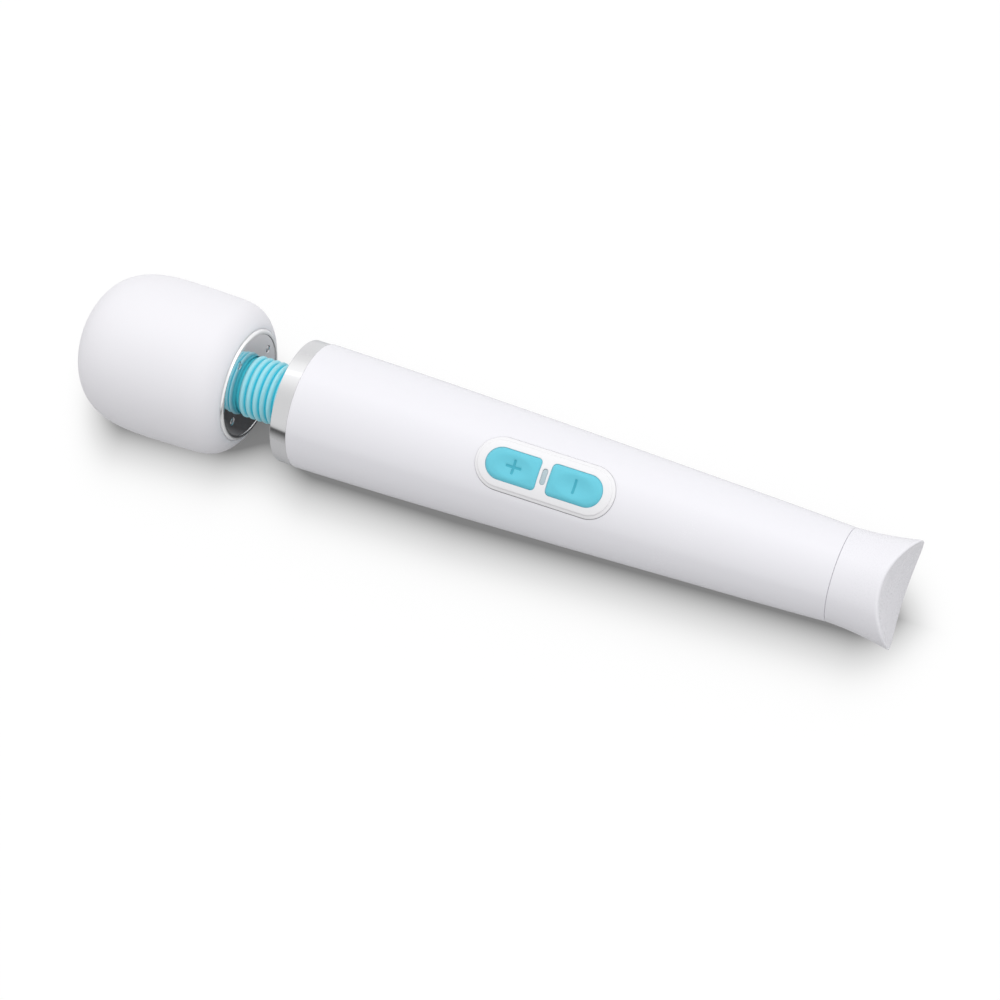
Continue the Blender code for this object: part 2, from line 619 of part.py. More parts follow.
# a large round cutter, its axis nearly along Z, scoops the end and leaves tips at +Y and -Y
SCOOP_DEPTH, SCOOP_HALF_CHORD, SCOOP_TILT = 4.7, 20.3, -1.4  # tilt in degrees about Y
scoop_radius = (SCOOP_HALF_CHORD ** 2 + SCOOP_DEPTH ** 2) / (2 * SCOOP_DEPTH)
cut(cap, rod_helper(
    "tail_scoop", [(wand_x(SCOOP_DEPTH - scoop_radius), 0, 0)], scoop_radius, depth=80,
    segments=90, turn=Matrix.Rotation(math.radians(SCOOP_TILT), 4, "Y")))

SEAL = [(29.0, 14.65), (30.6, 14.65), (30.6, 15.2), (29.8, 15.5), (29.0, 15.2)]
spun("tail_seal", SEAL, DARK)

# charging socket, mouth towards -Z: (height, radius)
JACK = [
    (-17.7, 0.0), (-17.7, 0.6), (-14.5, 0.6), (-14.5, 1.4),
    (-18.2, 1.4), (-18.2, 3.2), (-11.0, 3.2), (-11.0, 0.0),
]
spun_upright("charge_jack", JACK, DARK, 18, JACK_STATION)

# ---------------------------------------------------------------- joint axes
YAW_STATION, PITCH_STATION = 252.0, 262.0
SPRING_STATION, MOTOR_STATION = 257.0, 216.0


def axis_empty(name, station, *members, z=0.0, parent=None):
    """An empty on a joint's axis, which carries the pieces that move about it."""
    place = Vector((wand_x(station), 0, z * MILLI))
    empty = bpy.data.objects.new(name, None)
    empty.empty_display_size = 0.01
    empty.location = place
    bpy.context.scene.collection.objects.link(empty)
    if parent is not None:
        empty.parent = parent
        empty.location = place - parent.matrix_world.translation
    bpy.context.view_layer.update()
    for member in members:
        piece = bpy.data.objects[member]
        piece.parent = empty
        piece.matrix_parent_inverse = empty.matrix_world.inverted()
    return empty


yaw = axis_empty("neck_yaw_axis", YAW_STATION, "neck_bellows")
pitch = axis_empty(
    "neck_pitch_axis", PITCH_STATION, "head_cushion", "head_housing", "head_bezel",
    "head_back_plate", "head_bearing_plate", "bearing_rear", "bearing_front",
    *[f"back_plate_screw_{n + 1}" for n in range(HEAD_SCREW_COUNT)], parent=yaw)
axis_empty("drive_spring_axis", SPRING_STATION, "drive_spring", parent=yaw)
axis_empty("eccentric_axis", (WEIGHT_REAR + WEIGHT_FRONT) / 2, "eccentric_shaft",
           "eccentric_weight", parent=pitch)
axis_empty("motor_axis", MOTOR_STATION, "motor_rotor", "drive_hub")
for sign, side in BUTTON_SIDES.items():
    axis_empty(f"press_{sign}_axis", button_station(side), f"button_{sign}",
               f"plunger_{sign}", z=FLANGE_LOW)
bpy.context.view_layer.update()
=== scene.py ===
"""Looks of a handheld wand massager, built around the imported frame.

The wand lies along X, its head towards -X and its tail towards +X, with the key panel on
top (+Z). Every place is given as (dist, y, z) in millimetres: dist runs from the tail tips
towards the head, and y and z are measured off the axis. The meshes are in metres.
"""

import math
from functools import partial

import bmesh
import bpy
import numpy as np
from mathutils import Matrix, Vector
from mathutils.geometry import delaunay_2d_cdt


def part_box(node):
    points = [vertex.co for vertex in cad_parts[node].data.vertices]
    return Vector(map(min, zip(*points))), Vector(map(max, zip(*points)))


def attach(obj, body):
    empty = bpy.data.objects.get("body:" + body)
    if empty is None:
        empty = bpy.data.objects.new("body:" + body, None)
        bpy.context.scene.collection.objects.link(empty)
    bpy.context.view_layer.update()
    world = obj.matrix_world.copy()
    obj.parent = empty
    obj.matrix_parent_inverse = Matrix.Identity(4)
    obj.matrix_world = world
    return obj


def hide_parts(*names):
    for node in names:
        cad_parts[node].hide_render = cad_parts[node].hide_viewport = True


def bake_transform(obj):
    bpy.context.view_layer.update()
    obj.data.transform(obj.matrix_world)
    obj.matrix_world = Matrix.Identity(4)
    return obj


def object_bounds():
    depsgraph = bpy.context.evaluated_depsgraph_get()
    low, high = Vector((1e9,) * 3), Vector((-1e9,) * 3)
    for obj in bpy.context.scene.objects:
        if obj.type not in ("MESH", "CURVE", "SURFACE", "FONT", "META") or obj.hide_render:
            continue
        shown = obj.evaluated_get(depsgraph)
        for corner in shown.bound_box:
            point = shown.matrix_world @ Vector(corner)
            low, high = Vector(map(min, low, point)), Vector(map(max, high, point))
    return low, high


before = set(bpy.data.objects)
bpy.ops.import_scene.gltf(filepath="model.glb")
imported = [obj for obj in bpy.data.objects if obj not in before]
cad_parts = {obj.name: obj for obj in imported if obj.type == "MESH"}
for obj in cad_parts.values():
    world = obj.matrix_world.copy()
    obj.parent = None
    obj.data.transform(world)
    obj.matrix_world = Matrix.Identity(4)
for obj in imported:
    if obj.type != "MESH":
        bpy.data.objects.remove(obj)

cad_low, cad_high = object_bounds()
MM = 0.001

# ------------------------------------------------------------------ places on the frame
TAIL_X = round(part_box("tail_cap")[1].x, 4)


def head_end(part):
    return (TAIL_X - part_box(part)[0].x) / MM


def tail_end(part):
    return (TAIL_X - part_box(part)[1].x) / MM


def middle(part):
    return (head_end(part) + tail_end(part)) / 2


def bottom(part):
    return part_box(part)[0].z / MM


def point(dist, y, z):
    """A place in millimetres as a point in metres."""
    return (TAIL_X - dist * MM, y * MM, z * MM)


SEAM = tail_end("handle_shell") - 0.35  # where the tail cap's outside ends
SHELL_START = SEAM + 0.12
FRONT = head_end("handle_shell")
COLLAR = head_end("collar_ring")
PLATE = tail_end("head_back_plate")
HEAD_TIP = head_end("head_cushion")
HEAD_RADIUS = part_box("head_cushion")[1].y / MM
PANEL_MID = middle("panel_frame")
PANEL_LONG = head_end("panel_frame") - tail_end("panel_frame")
PANEL_WIDE = 2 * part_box("panel_frame")[1].y / MM
LED_AT = middle("led_window")
JACK_AT = middle("charge_jack")


# ------------------------------------------------------------------ curves and outlines
def spline(places, values):
    """Natural cubic spline through points, as a function that stays level past its ends."""
    places, values = np.asarray(places, float), np.asarray(values, float)
    count = len(places)
    width = np.diff(places)
    slope = np.diff(values) / width
    system = np.zeros((count, count))
    target = np.zeros(count)
    system[0, 0] = system[-1, -1] = 1
    for i in range(1, count - 1):
        system[i, i - 1 : i + 2] = width[i - 1], 2 * (width[i - 1] + width[i]), width[i]
        target[i] = 6 * (slope[i] - slope[i - 1])
    bend = np.linalg.solve(system, target)

    def value(x):
        x = np.clip(np.asarray(x, float), places[0], places[-1])
        i = np.clip(np.searchsorted(places, x) - 1, 0, count - 2)
        past, left, gap = x - places[i], places[i + 1] - x, width[i]
        cubic = (bend[i] * left**3 + bend[i + 1] * past**3) / (6 * gap)
        start = (values[i] / gap - bend[i] * gap / 6) * left
        return cubic + start + (values[i + 1] / gap - bend[i + 1] * gap / 6) * past

    return value


def smooth_path(points, step):
    """Cubic through (dist, radius) points by chord length, evenly resampled."""
    path = np.array(points, float)
    chords = np.linalg.norm(np.diff(path, axis=0), axis=1)
    run = np.concatenate([[0], np.cumsum(chords)])
    samples = np.linspace(0, run[-1], int(run[-1] / step) + 1)
    dists = spline(run, path[:, 0])(samples)
    radii = spline(run, path[:, 1])(samples)
    return list(zip(dists.tolist(), np.maximum(radii, 0).tolist()))


def rounded(corners, steps):
    """Closed outline through corners (along, radius, rounding), each rounded with an arc."""
    out = []
    for i, (x, y, rounding) in enumerate(corners):
        if rounding <= 0:
            out.append((x, y))
            continue
        corner = np.array([x, y], float)
        back = np.array(corners[i - 1][:2], float) - corner
        ahead = np.array(corners[(i + 1) % len(corners)][:2], float) - corner
        back_long, ahead_long = np.linalg.norm(back), np.linalg.norm(ahead)
        back, ahead = back / back_long, ahead / ahead_long
        half = math.acos(max(-1, min(1, float(back @ ahead)))) / 2
        cut = min(rounding / math.tan(half), 0.49 * back_long, 0.49 * ahead_long)
        radius = cut * math.tan(half)
        bisector = (back + ahead) / np.linalg.norm(back + ahead)
        centre = corner + bisector * (radius / math.sin(half))
        start = math.atan2(*(corner + back * cut - centre)[::-1])
        end = math.atan2(*(corner + ahead * cut - centre)[::-1])
        sweep = (end - start + math.pi) % (2 * math.pi) - math.pi
        for k in range(steps + 1):
            turn = start + sweep * k / steps
            x = float(centre[0] + radius * math.cos(turn))
            out.append((x, float(centre[1] + radius * math.sin(turn))))
    return out


def densify(points, step):
    """Closed outline with its long edges split so that none exceeds the step."""
    out = []
    for i in range(len(points)):
        start, end = np.array(points[i]), np.array(points[(i + 1) % len(points)])
        parts = max(1, int(math.ceil(np.linalg.norm(end - start) / step)))
        for j in range(parts):
            out.append(tuple(start + (end - start) * j / parts))
    return out


# ------------------------------------------------------------------ mesh helpers
def link_object(name, data):
    made = bpy.data.objects.new(name, data)
    bpy.context.scene.collection.objects.link(made)
    return made


def object_from(name, edit):
    """An object from a finished bmesh, which is freed."""
    mesh = bpy.data.meshes.new(name)
    edit.to_mesh(mesh)
    edit.free()
    return link_object(name, mesh)


def mesh_object(name, verts, faces, looks, sharp=None, slots=None, weld=2e-7, dissolve=True):
    """Smooth solid with outward normals. looks names its materials, slots is one per face,
    and edges that fold by more than sharp degrees are marked sharp."""
    mesh = bpy.data.meshes.new(name)
    verts = [tuple(map(float, vert)) for vert in verts]
    mesh.from_pydata(verts, [], [tuple(map(int, face)) for face in faces])
    for look in looks:
        mesh.materials.append(LOOKS[look])
    if slots:
        mesh.polygons.foreach_set("material_index", slots)
    edit = bmesh.new()
    edit.from_mesh(mesh)
    bmesh.ops.remove_doubles(edit, verts=edit.verts, dist=weld)
    if dissolve:
        bmesh.ops.dissolve_degenerate(edit, edges=edit.edges, dist=1e-7)
    bmesh.ops.recalc_face_normals(edit, faces=edit.faces)
    if edit.calc_volume(signed=True) < 0:
        bmesh.ops.reverse_faces(edit, faces=edit.faces)
    for face in edit.faces:
        face.smooth = True
    if sharp is not None:
        for edge in edit.edges:
            if len(edge.link_faces) == 2 and edge.calc_face_angle(0.0) > math.radians(sharp):
                edge.smooth = False
    edit.to_mesh(mesh)
    edit.free()
    return link_object(name, mesh)


def ring_faces(rings, sides, closed=False):
    """Quads between successive rings; closed joins the last ring to the first."""
    out = []
    for i in range(rings if closed else rings - 1):
        here, there = i * sides, ((i + 1) % rings) * sides
        for j in range(sides):
            k = (j + 1) % sides
            out.append((here + j, here + k, there + k, there + j))
    return out


def lathe(name, outline, look, sides, sharp=None, centre=(0, 0), upright=False):
    """Closed outline of (along, radius) turned about an axis. The axis runs along the wand
    through centre (y, z), or if upright along Z through centre (dist, y)."""
    turns = np.arange(sides) * 2 * math.pi / sides
    verts = []
    for along, radius in outline:
        for cos, sin in zip(np.cos(turns), np.sin(turns)):
            if upright:
                verts.append(point(centre[0] - radius * cos, centre[1] + radius * sin, along))
            else:
                verts.append(point(along, radius * cos + centre[0], radius * sin + centre[1]))
    return mesh_object(name, verts, ring_faces(len(outline), sides, True), [look], sharp)


def cut(target, tool, use_self=False):
    """Cuts the tool out of the target and removes the tool."""
    modifier = target.modifiers.new("cut", "BOOLEAN")
    modifier.operation, modifier.solver = "DIFFERENCE", "EXACT"
    modifier.object, modifier.use_self = tool, use_self
    bpy.context.view_layer.update()
    evaluated = target.evaluated_get(bpy.context.evaluated_depsgraph_get())
    mesh = bpy.data.meshes.new_from_object(evaluated)
    target.modifiers.clear()
    target.data = mesh
    bpy.data.objects.remove(tool)


def register(piece, part, group):
    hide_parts(part)
    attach(piece, group)


# ------------------------------------------------------------------ shader helpers
def feed(socket, value):
    """Links an output into a socket, or sets the socket's own value."""
    if isinstance(value, bpy.types.NodeSocket):
        socket.id_data.links.new(value, socket)
    else:
        socket.default_value = value


def set_inputs(node, **values):
    """Feeds inputs by name, with _ for a space; any other name is a setting of the node."""
    for key, value in values.items():
        label = key.replace("_", " ")
        if label in node.inputs:
            feed(node.inputs[label], value)
        else:
            setattr(node, key, value)


def add(tree, kind, **values):
    node = tree.nodes.new("ShaderNode" + kind)
    set_inputs(node, **values)
    return node


def calculate(tree, how, *values, clamp=False):
    node = add(tree, "Math", operation=how, use_clamp=clamp)
    for socket, value in zip(node.inputs, values):
        feed(socket, value)
    return node.outputs[0]


def mix_colors(tree, factor, first, second, blend="MIX"):
    """Colour mix; each colour is an output or three numbers."""
    node = add(tree, "Mix", data_type="RGBA", blend_type=blend)
    feed(node.inputs[0], factor)
    for socket, color in ((node.inputs[6], first), (node.inputs[7], second)):
        feed(socket, color if isinstance(color, bpy.types.NodeSocket) else (*color, 1))
    return node.outputs[2]


def drifting(tree, factor, color, drift):
    """The colour a little darker to a little lighter, by the factor."""
    color = np.array(color)
    dark, light = np.clip(color * (1 - drift), 0, 1), np.clip(color * (1 + drift), 0, 1)
    return mix_colors(tree, factor, dark, light)


def node_material(name):
    material = bpy.data.materials.new(name)
    material.use_nodes = True
    tree = material.node_tree
    return material, tree, tree.nodes["Principled BSDF"]


def surface(
    name, color, rough, metallic, drift, drift_scale, grain, bump, swing,
    sss=0.0, sheen=0.0, spec=0.5,
):
    """Moulded or polished surface: slow colour drift, fine grain in the bump, and roughness
    that varies with both."""
    material, tree, shader = node_material(name)
    place = add(tree, "TexCoord").outputs["Object"]
    slow = add(tree, "TexNoise", Vector=place, Scale=drift_scale, Detail=3.0, Roughness=0.55)
    fine = add(tree, "TexNoise", Vector=place, Scale=grain, Detail=4.0, Roughness=0.6)
    slow, fine = slow.outputs["Fac"], fine.outputs["Fac"]
    slow_share, fine_share = 0.55, 0.45
    both = calculate(
        tree, "MULTIPLY_ADD", fine, fine_share, calculate(tree, "MULTIPLY", slow, slow_share)
    )
    roughness = add(
        tree, "MapRange", Value=both, From_Min=0.3, From_Max=0.7,
        To_Min=rough - swing, To_Max=rough + swing,
    )
    relief = add(tree, "Bump", Strength=1.0, Distance=bump * MM, Height=fine)
    set_inputs(
        shader,
        Base_Color=drifting(tree, slow, color, drift),
        Roughness=roughness.outputs["Result"],
        Normal=relief.outputs["Normal"],
        Metallic=metallic,
        Coat_Roughness=0.05,
        Specular_IOR_Level=spec,
        IOR=1.5,
        Sheen_Weight=sheen,
    )
    if sss:
        set_inputs(
            shader,
            Subsurface_Weight=sss,
            Subsurface_Radius=(0.004, 0.004, 0.004),
            Subsurface_Scale=0.5,
        )
    material.diffuse_color = (*color, 1)
    return material


def turned(name, color, rough, lines, depth, drift):
    """Metal faced on a lathe: fine concentric lines about the long axis."""
    material, tree, shader = node_material(name)
    place = add(tree, "TexCoord").outputs["Object"]
    parts = add(tree, "SeparateXYZ", Vector=place).outputs
    across = add(tree, "CombineXYZ", X=parts["Y"], Y=parts["Z"]).outputs[0]
    radius = add(tree, "VectorMath", operation="LENGTH", Vector=across).outputs["Value"]
    by_radius = add(tree, "CombineXYZ", X=radius).outputs[0]
    ridges = add(tree, "TexNoise", Vector=by_radius, Scale=lines, Detail=2.0, Roughness=0.7)
    ridges = ridges.outputs["Fac"]
    slow = add(tree, "TexNoise", Vector=place, Scale=60.0, Detail=3.0).outputs["Fac"]
    roughness = add(tree, "MapRange", Value=ridges, To_Min=rough * 0.75, To_Max=rough * 1.3)
    relief = add(tree, "Bump", Strength=1.0, Distance=depth * MM, Height=ridges)
    set_inputs(
        shader,
        Base_Color=drifting(tree, slow, color, drift),
        Roughness=roughness.outputs["Result"],
        Normal=relief.outputs["Normal"],
        Metallic=1.0,
    )
    return material


# ------------------------------------------------------------------ materials
# name, colour, roughness, metallic, then: colour drift (share of the colour), its noise scale,
# grain noise scale, grain height in mm, roughness swing either way
SURFACES = (
    ("gloss_white_shell", (0.828, 0.822, 0.862), 0.24, 0, 0.008, 18, 2600, 0.0012, 0.04),
    ("gloss_white_cap", (0.828, 0.822, 0.862), 0.27, 0, 0.008, 22, 2600, 0.0014, 0.04),
    ("gloss_white_frame", (0.85, 0.845, 0.865), 0.22, 0, 0.006, 30, 3000, 0.001, 0.04),
    ("matte_white_silicone", (0.836, 0.828, 0.862), 0.52, 0, 0.012, 30, 2200, 0.006, 0.07),
    ("teal_silicone_neck", (0.065, 0.66, 0.805), 0.42, 0, 0.03, 90, 2600, 0.004, 0.06),
    ("teal_silicone_key", (0.14, 0.58, 0.71), 0.45, 0, 0.02, 120, 2800, 0.004, 0.05),
    ("teal_glyph", (0.05, 0.42, 0.54), 0.5, 0, 0.03, 150, 3000, 0.003, 0.05),
    ("polished_chrome", (0.70, 0.70, 0.71), 0.09, 1, 0.01, 25, 1400, 0.0003, 0.03),
    ("polished_bezel", (0.94, 0.94, 0.945), 0.2, 1, 0.01, 40, 1400, 0.0003, 0.03),
    ("plated_screw", (0.74, 0.74, 0.75), 0.3, 1, 0.08, 700, 5000, 0.002, 0.06),
    ("indicator_diffuser", (0.47, 0.575, 0.62), 0.3, 0, 0.03, 300, 4000, 0.001, 0.06),
    ("black_socket", (0.02, 0.02, 0.022), 0.4, 0, 0.1, 400, 4000, 0.004, 0.06),
    ("grey_moulding", (0.22, 0.225, 0.235), 0.55, 0, 0.05, 120, 2500, 0.01, 0.06),
    ("black_moulding", (0.025, 0.025, 0.028), 0.5, 0, 0.08, 200, 2500, 0.008, 0.06),
    ("seal_rubber", (0.02, 0.02, 0.02), 0.7, 0, 0.1, 200, 2600, 0.01, 0.06),
    ("drawn_steel", (0.5, 0.5, 0.51), 0.28, 1, 0.06, 150, 3500, 0.003, 0.06),
    ("turned_brass", (0.62, 0.46, 0.18), 0.3, 1, 0.06, 160, 3000, 0.003, 0.06),
    ("winding_copper", (0.55, 0.25, 0.11), 0.35, 0.8, 0.12, 1500, 6000, 0.03, 0.06),
    ("board_laminate", (0.015, 0.12, 0.05), 0.42, 0, 0.15, 500, 3000, 0.006, 0.06),
    ("cell_wrap", (0.05, 0.13, 0.33), 0.32, 0, 0.05, 90, 1800, 0.003, 0.06),
    ("ferrite", (0.05, 0.05, 0.052), 0.6, 0, 0.15, 500, 5000, 0.02, 0.06),
)
# the materials that let light in (sss), or differ in sheen or reflection
SOFT = {
    "matte_white_silicone": dict(sss=0.08, sheen=0.05, spec=0.4),
    "teal_silicone_neck": dict(sss=0.12, spec=0.45),
    "teal_silicone_key": dict(sss=0.1, spec=0.4),
    "indicator_diffuser": dict(sss=0.3),
}
LOOKS = {row[0]: surface(*row, **SOFT.get(row[0], {})) for row in SURFACES}
LOOKS["turned_dark_plate"] = turned(
    "turned_dark_plate", color=(0.82, 0.81, 0.83), rough=0.07, lines=9000.0, depth=0.004,
    drift=0.04,
)


def paint_rib_highlight():
    """Painted highlight: makes the neck's crests paler than its grooves, standing in for the sheen
    they catch, by the mesh's own "rib" attribute.
    """
    tree = LOOKS["teal_silicone_neck"].node_tree
    height = add(tree, "Attribute", attribute_name="rib").outputs["Fac"]
    ramp = add(
        tree, "MapRange", interpolation_type="SMOOTHSTEP", From_Min=0.2, From_Max=0.85,
        Value=height,
    )
    base = tree.nodes["Principled BSDF"].inputs["Base Color"]
    # painted highlight colour for the crests
    painted_crest_highlight = (0.41, 0.84, 0.94)
    teal = base.links[0].from_socket
    feed(base, mix_colors(tree, ramp.outputs["Result"], teal, painted_crest_highlight))


paint_rib_highlight()

# ------------------------------------------------------------------ carried-over internals
INTERNALS = {
    "grey_moulding": "head_housing head_bearing_plate motor_mount chassis_lower chassis_upper",
    "drawn_steel": "bearing_rear bearing_front eccentric_shaft motor_can",
    "turned_brass": "eccentric_weight drive_hub",
    "plated_screw": "motor_screw_1 motor_screw_2 plunger_plus plunger_minus board_screw_1 "
    "board_screw_2 battery_link chassis_screw_1 chassis_screw_2 chassis_screw_3 "
    "chassis_screw_4",
    "black_moulding": "motor_end_cap switch_plus switch_minus",
    "ferrite": "motor_magnet_1 motor_magnet_2",
    "winding_copper": "motor_rotor",
    "indicator_diffuser": "led",
    "board_laminate": "control_board",
    "cell_wrap": "battery_cell_1 battery_cell_2",
    "seal_rubber": "tail_seal",
}
for look, parts in INTERNALS.items():
    for part in parts.split():
        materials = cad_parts[part].data.materials
        materials.clear()
        materials.append(LOOKS[look])

# ------------------------------------------------------------------ head cushion
# (dist, radius) down the outside, from the plate's side to the tip
HEAD_PROFILE = [
    (268.72, 22.45), (268.92, 23.5), (270.15, 25.75), (272.0, 27.85), (274.2, 29.45),
    (276.9, 30.5), (280.5, 31.08), (286.0, 31.32), (293.0, 31.52), (300.0, 31.62),
    (306.5, 31.58), (312.0, 31.3), (317.0, 30.65), (321.5, 29.45), (325.5, 27.65),
    (329.2, 24.95), (332.3, 21.3), (334.9, 16.6), (337.25, 11.1), (338.85, 5.8),
    (339.38, 2.8), (339.5, 0.0),
]
# the profile is stretched from its start to the frame's tip, and to the frame's radius
PROFILE_START, PROFILE_TIP, PROFILE_RADIUS = 268.3, 339.75, 31.62
TIP_SHORT = 0.25  # the soft tip stops a little short of the solid one
HOLLOW_TIP = (334.3, 0.0)
# (dist, radius) down the hollow
HOLLOW_MOUTH = [(268.9, 22.5), (270.2, 22.6)]
HOLLOW_PROFILE = [
    (271.8, 22.75), (274.0, 26.3), (284.0, 27.1), (298.0, 27.25), (312.0, 27.0),
    (321.0, 24.6), (328.5, 18.6), HOLLOW_TIP,
]


def build_cushion():
    stretch = (HEAD_TIP - PROFILE_START) / (PROFILE_TIP - PROFILE_START)
    outside = [
        (PROFILE_START + (dist - PROFILE_START) * stretch, radius * (HEAD_RADIUS / PROFILE_RADIUS))
        for dist, radius in smooth_path(HEAD_PROFILE, 0.8)
    ]
    hollow = HOLLOW_MOUTH + smooth_path(HOLLOW_PROFILE, 2.0)
    tips = [(HEAD_TIP - TIP_SHORT, 0.0), HOLLOW_TIP]
    outline = outside[:-1] + tips + hollow[:-1][::-1]
    cushion = lathe("head_cushion_silicone", outline, "matte_white_silicone", sides=160)
    register(cushion, "head_cushion", "head")


build_cushion()

# ------------------------------------------------------------------ ring around the plate
BEZEL_RADIUS = 21.3  # at its crest
BEZEL_OUTER = (268.75, 1.09, 1.2)  # dist of the outer edge, then rise and width of its curve
BEZEL_INNER = (267.98, 0.32, 0.72)  # the same for the inner curve


def bezel_curve(curve, turns):
    dist, rise, width = curve
    return [
        (dist - rise * math.sin(turn), BEZEL_RADIUS + width * math.cos(turn)) for turn in turns
    ]


bezel_outline = bezel_curve(BEZEL_OUTER, np.linspace(0, math.pi / 2, 16))
bezel_outline += bezel_curve(BEZEL_INNER, np.linspace(math.pi / 2, math.pi, 12)[1:])
bezel_outline += [(270.0, 20.55), (270.0, 22.45)]
bezel = lathe("head_bezel_ring", bezel_outline, "polished_bezel", sides=160, sharp=40)
register(bezel, "head_bezel", "head")

# ------------------------------------------------------------------ back plate and its screws
PLATE_BORE, PLATE_RADIUS, PLATE_THICK = 11.6, 20.53, 1.6
# (dist, radius) of the cutter for a screw hole, with a small chamfer at the plate's face
SCREW_HOLE = [
    (PLATE - 1.0, 0.0), (PLATE - 1.0, 1.62), (PLATE, 1.62), (PLATE + 0.16, 1.42),
    (PLATE + 3.0, 1.42), (PLATE + 3.0, 0.0),
]
# (dist, radius) from the middle of the head over its crown and down the shank
SCREW_OUTLINE = [
    (PLATE - 0.05, 0.0), (PLATE - 0.03, 0.6), (PLATE + 0.03, 0.95), (PLATE + 0.14, 1.18),
    (PLATE + 0.34, 1.28), (PLATE + 1.2, 1.28), (PLATE + 1.2, 0.75), (PLATE + 7.0, 0.75),
    (PLATE + 7.0, 0.0),
]
SLOT_DEEP, SLOT_LONG, SLOT_WIDE = 0.6, 1.35, 0.28
FIRST_TURN, TURN_STEP = 0.5, 1.1  # radians, so that no two screws stop at the same angle


def screw_centre(k):
    low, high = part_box(f"back_plate_screw_{k}")
    return (low.y + high.y) / 2 / MM, (low.z + high.z) / 2 / MM


screw_centres = [screw_centre(k) for k in range(1, 5)]
plate_corners = [
    (PLATE, PLATE_BORE, 0.15),
    (PLATE, PLATE_RADIUS, 0.05),
    (PLATE + PLATE_THICK, PLATE_RADIUS, 0.1),
    (PLATE + PLATE_THICK, PLATE_BORE, 0.1),
]
plate = lathe(
    "head_plate_disc", rounded(plate_corners, 5), "turned_dark_plate", sides=160, sharp=40
)
for centre in screw_centres:
    cut(plate, lathe("tool", SCREW_HOLE, "turned_dark_plate", sides=48, centre=centre))
for face in plate.data.polygons:
    face.use_smooth = True
plate.data.set_sharp_from_angle(angle=math.radians(30))
register(plate, "head_back_plate", "head")


def cross_tool(centre, turn):
    """Two crossed bars, to cut the recess in a screw's head."""
    edit = bmesh.new()
    place = Matrix.Translation(point(PLATE, *centre)) @ Matrix.Rotation(turn, 4, "X")
    for wide, high in ((SLOT_LONG, SLOT_WIDE), (SLOT_WIDE, SLOT_LONG)):
        size = Matrix.Diagonal((SLOT_DEEP * MM, wide * MM, high * MM, 1.0))
        bmesh.ops.create_cube(edit, size=1.0, matrix=place @ size)
    return object_from("tool", edit)


for k, centre in enumerate(screw_centres):
    screw = lathe(
        f"plate_screw_{k + 1}", SCREW_OUTLINE, "plated_screw", sides=48, sharp=35, centre=centre
    )
    cut(screw, cross_tool(centre, FIRST_TURN + k * TURN_STEP), use_self=True)
    screw.data.set_sharp_from_angle(angle=math.radians(35))
    register(screw, f"back_plate_screw_{k + 1}", "head")

# ------------------------------------------------------------------ ribbed neck
# Two halves that meet on a crest.
RIB_FIRST, RIB_PITCH, RIB_TIP, RIB_ROOT, BORE = 248.05, 2.93, 12.4, 10.9, 8.4
SPLIT = RIB_FIRST + 3 * RIB_PITCH
RIB_STEPS = 18  # points to a rib


def rib_radius(dist):
    wave = 0.5 + 0.5 * math.cos(2 * math.pi * (dist - RIB_FIRST) / RIB_PITCH)
    return RIB_ROOT + (RIB_TIP - RIB_ROOT) * wave**0.5


def rib_run(start, end):
    count = max(2, int((end - start) / RIB_PITCH * RIB_STEPS))
    return [(dist, rib_radius(dist)) for dist in np.linspace(start, end, count + 1)]


# (dist, radius): the flange inside the collar, then the ribs, then back down the bore
neck_lower = [
    (240.3, 17.0), (242.9, 17.0), (243.0, 16.9), (243.0, 12.3), (243.3, 11.9),
    *rib_run(246.6, SPLIT),
    (SPLIT, BORE), (240.3, BORE),
]
# (dist, radius): the ribs, the groove that holds the plate, the lip behind it, the bore
neck_upper = [
    *rib_run(SPLIT, PLATE - 1.6),
    (PLATE - 1.35, 11.6), (PLATE - 1.1, 11.3), (PLATE - 0.8, 11.18), (PLATE + 0.3, 11.15),
    (PLATE + 0.5, 10.9), (PLATE + 1.9, 10.9), (PLATE + 1.95, 12.5), (PLATE + 3.85, 12.0),
    (PLATE + 3.85, BORE), (SPLIT, BORE),
]


def neck_half(name, outline):
    half = lathe(name, densify(outline, 0.9), "teal_silicone_neck", sides=144, sharp=60)
    return half


def mark_ribs(piece):
    """Stores how far up a rib each point is, the mask for the material's painted crest highlight.
    """
    coords = np.empty(len(piece.data.vertices) * 3)
    piece.data.vertices.foreach_get("co", coords)
    radii = np.hypot(coords[1::3], coords[2::3]) / MM
    height = np.clip((radii - RIB_ROOT) / (RIB_TIP - RIB_ROOT), 0, 1)
    piece.data.attributes.new("rib", "FLOAT", "POINT").data.foreach_set("value", height)


neck_a = neck_half("neck_bellows_lower", neck_lower)
neck_b = neck_half("neck_bellows_upper", neck_upper)
mark_ribs(neck_a)
mark_ribs(neck_b)
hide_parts("neck_bellows")
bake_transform(neck_a)
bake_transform(neck_b)

# ------------------------------------------------------------------ drive spring
# Hidden in the neck: two lengths of one coil that meet in the neck's own split plane.
COIL_FROM, COIL_TO, COIL_RADIUS, WIRE_RADIUS, COIL_TURNS = 244.6, 268.2, 4.3, 0.75, 5.0


def coil(name, start, end, per_turn=36, around=12):
    pace = 2 * math.pi * COIL_TURNS / (COIL_TO - COIL_FROM)
    steps = max(8, int(round((end - start) * pace / (2 * math.pi) * per_turn)))
    verts = []
    for dist in np.linspace(start, end, steps + 1):
        turn = pace * (dist - COIL_FROM)
        for wire in np.arange(around) * 2 * math.pi / around:
            radius = COIL_RADIUS + WIRE_RADIUS * math.cos(wire)
            along = dist + WIRE_RADIUS * math.sin(wire)
            verts.append(point(along, radius * math.cos(turn), radius * math.sin(turn)))
    last = steps * around
    ends = [tuple(range(around)), tuple(range(last, last + around))]
    faces = ring_faces(steps + 1, around) + ends
    return mesh_object(name, verts, faces, ["drawn_steel"], sharp=60)


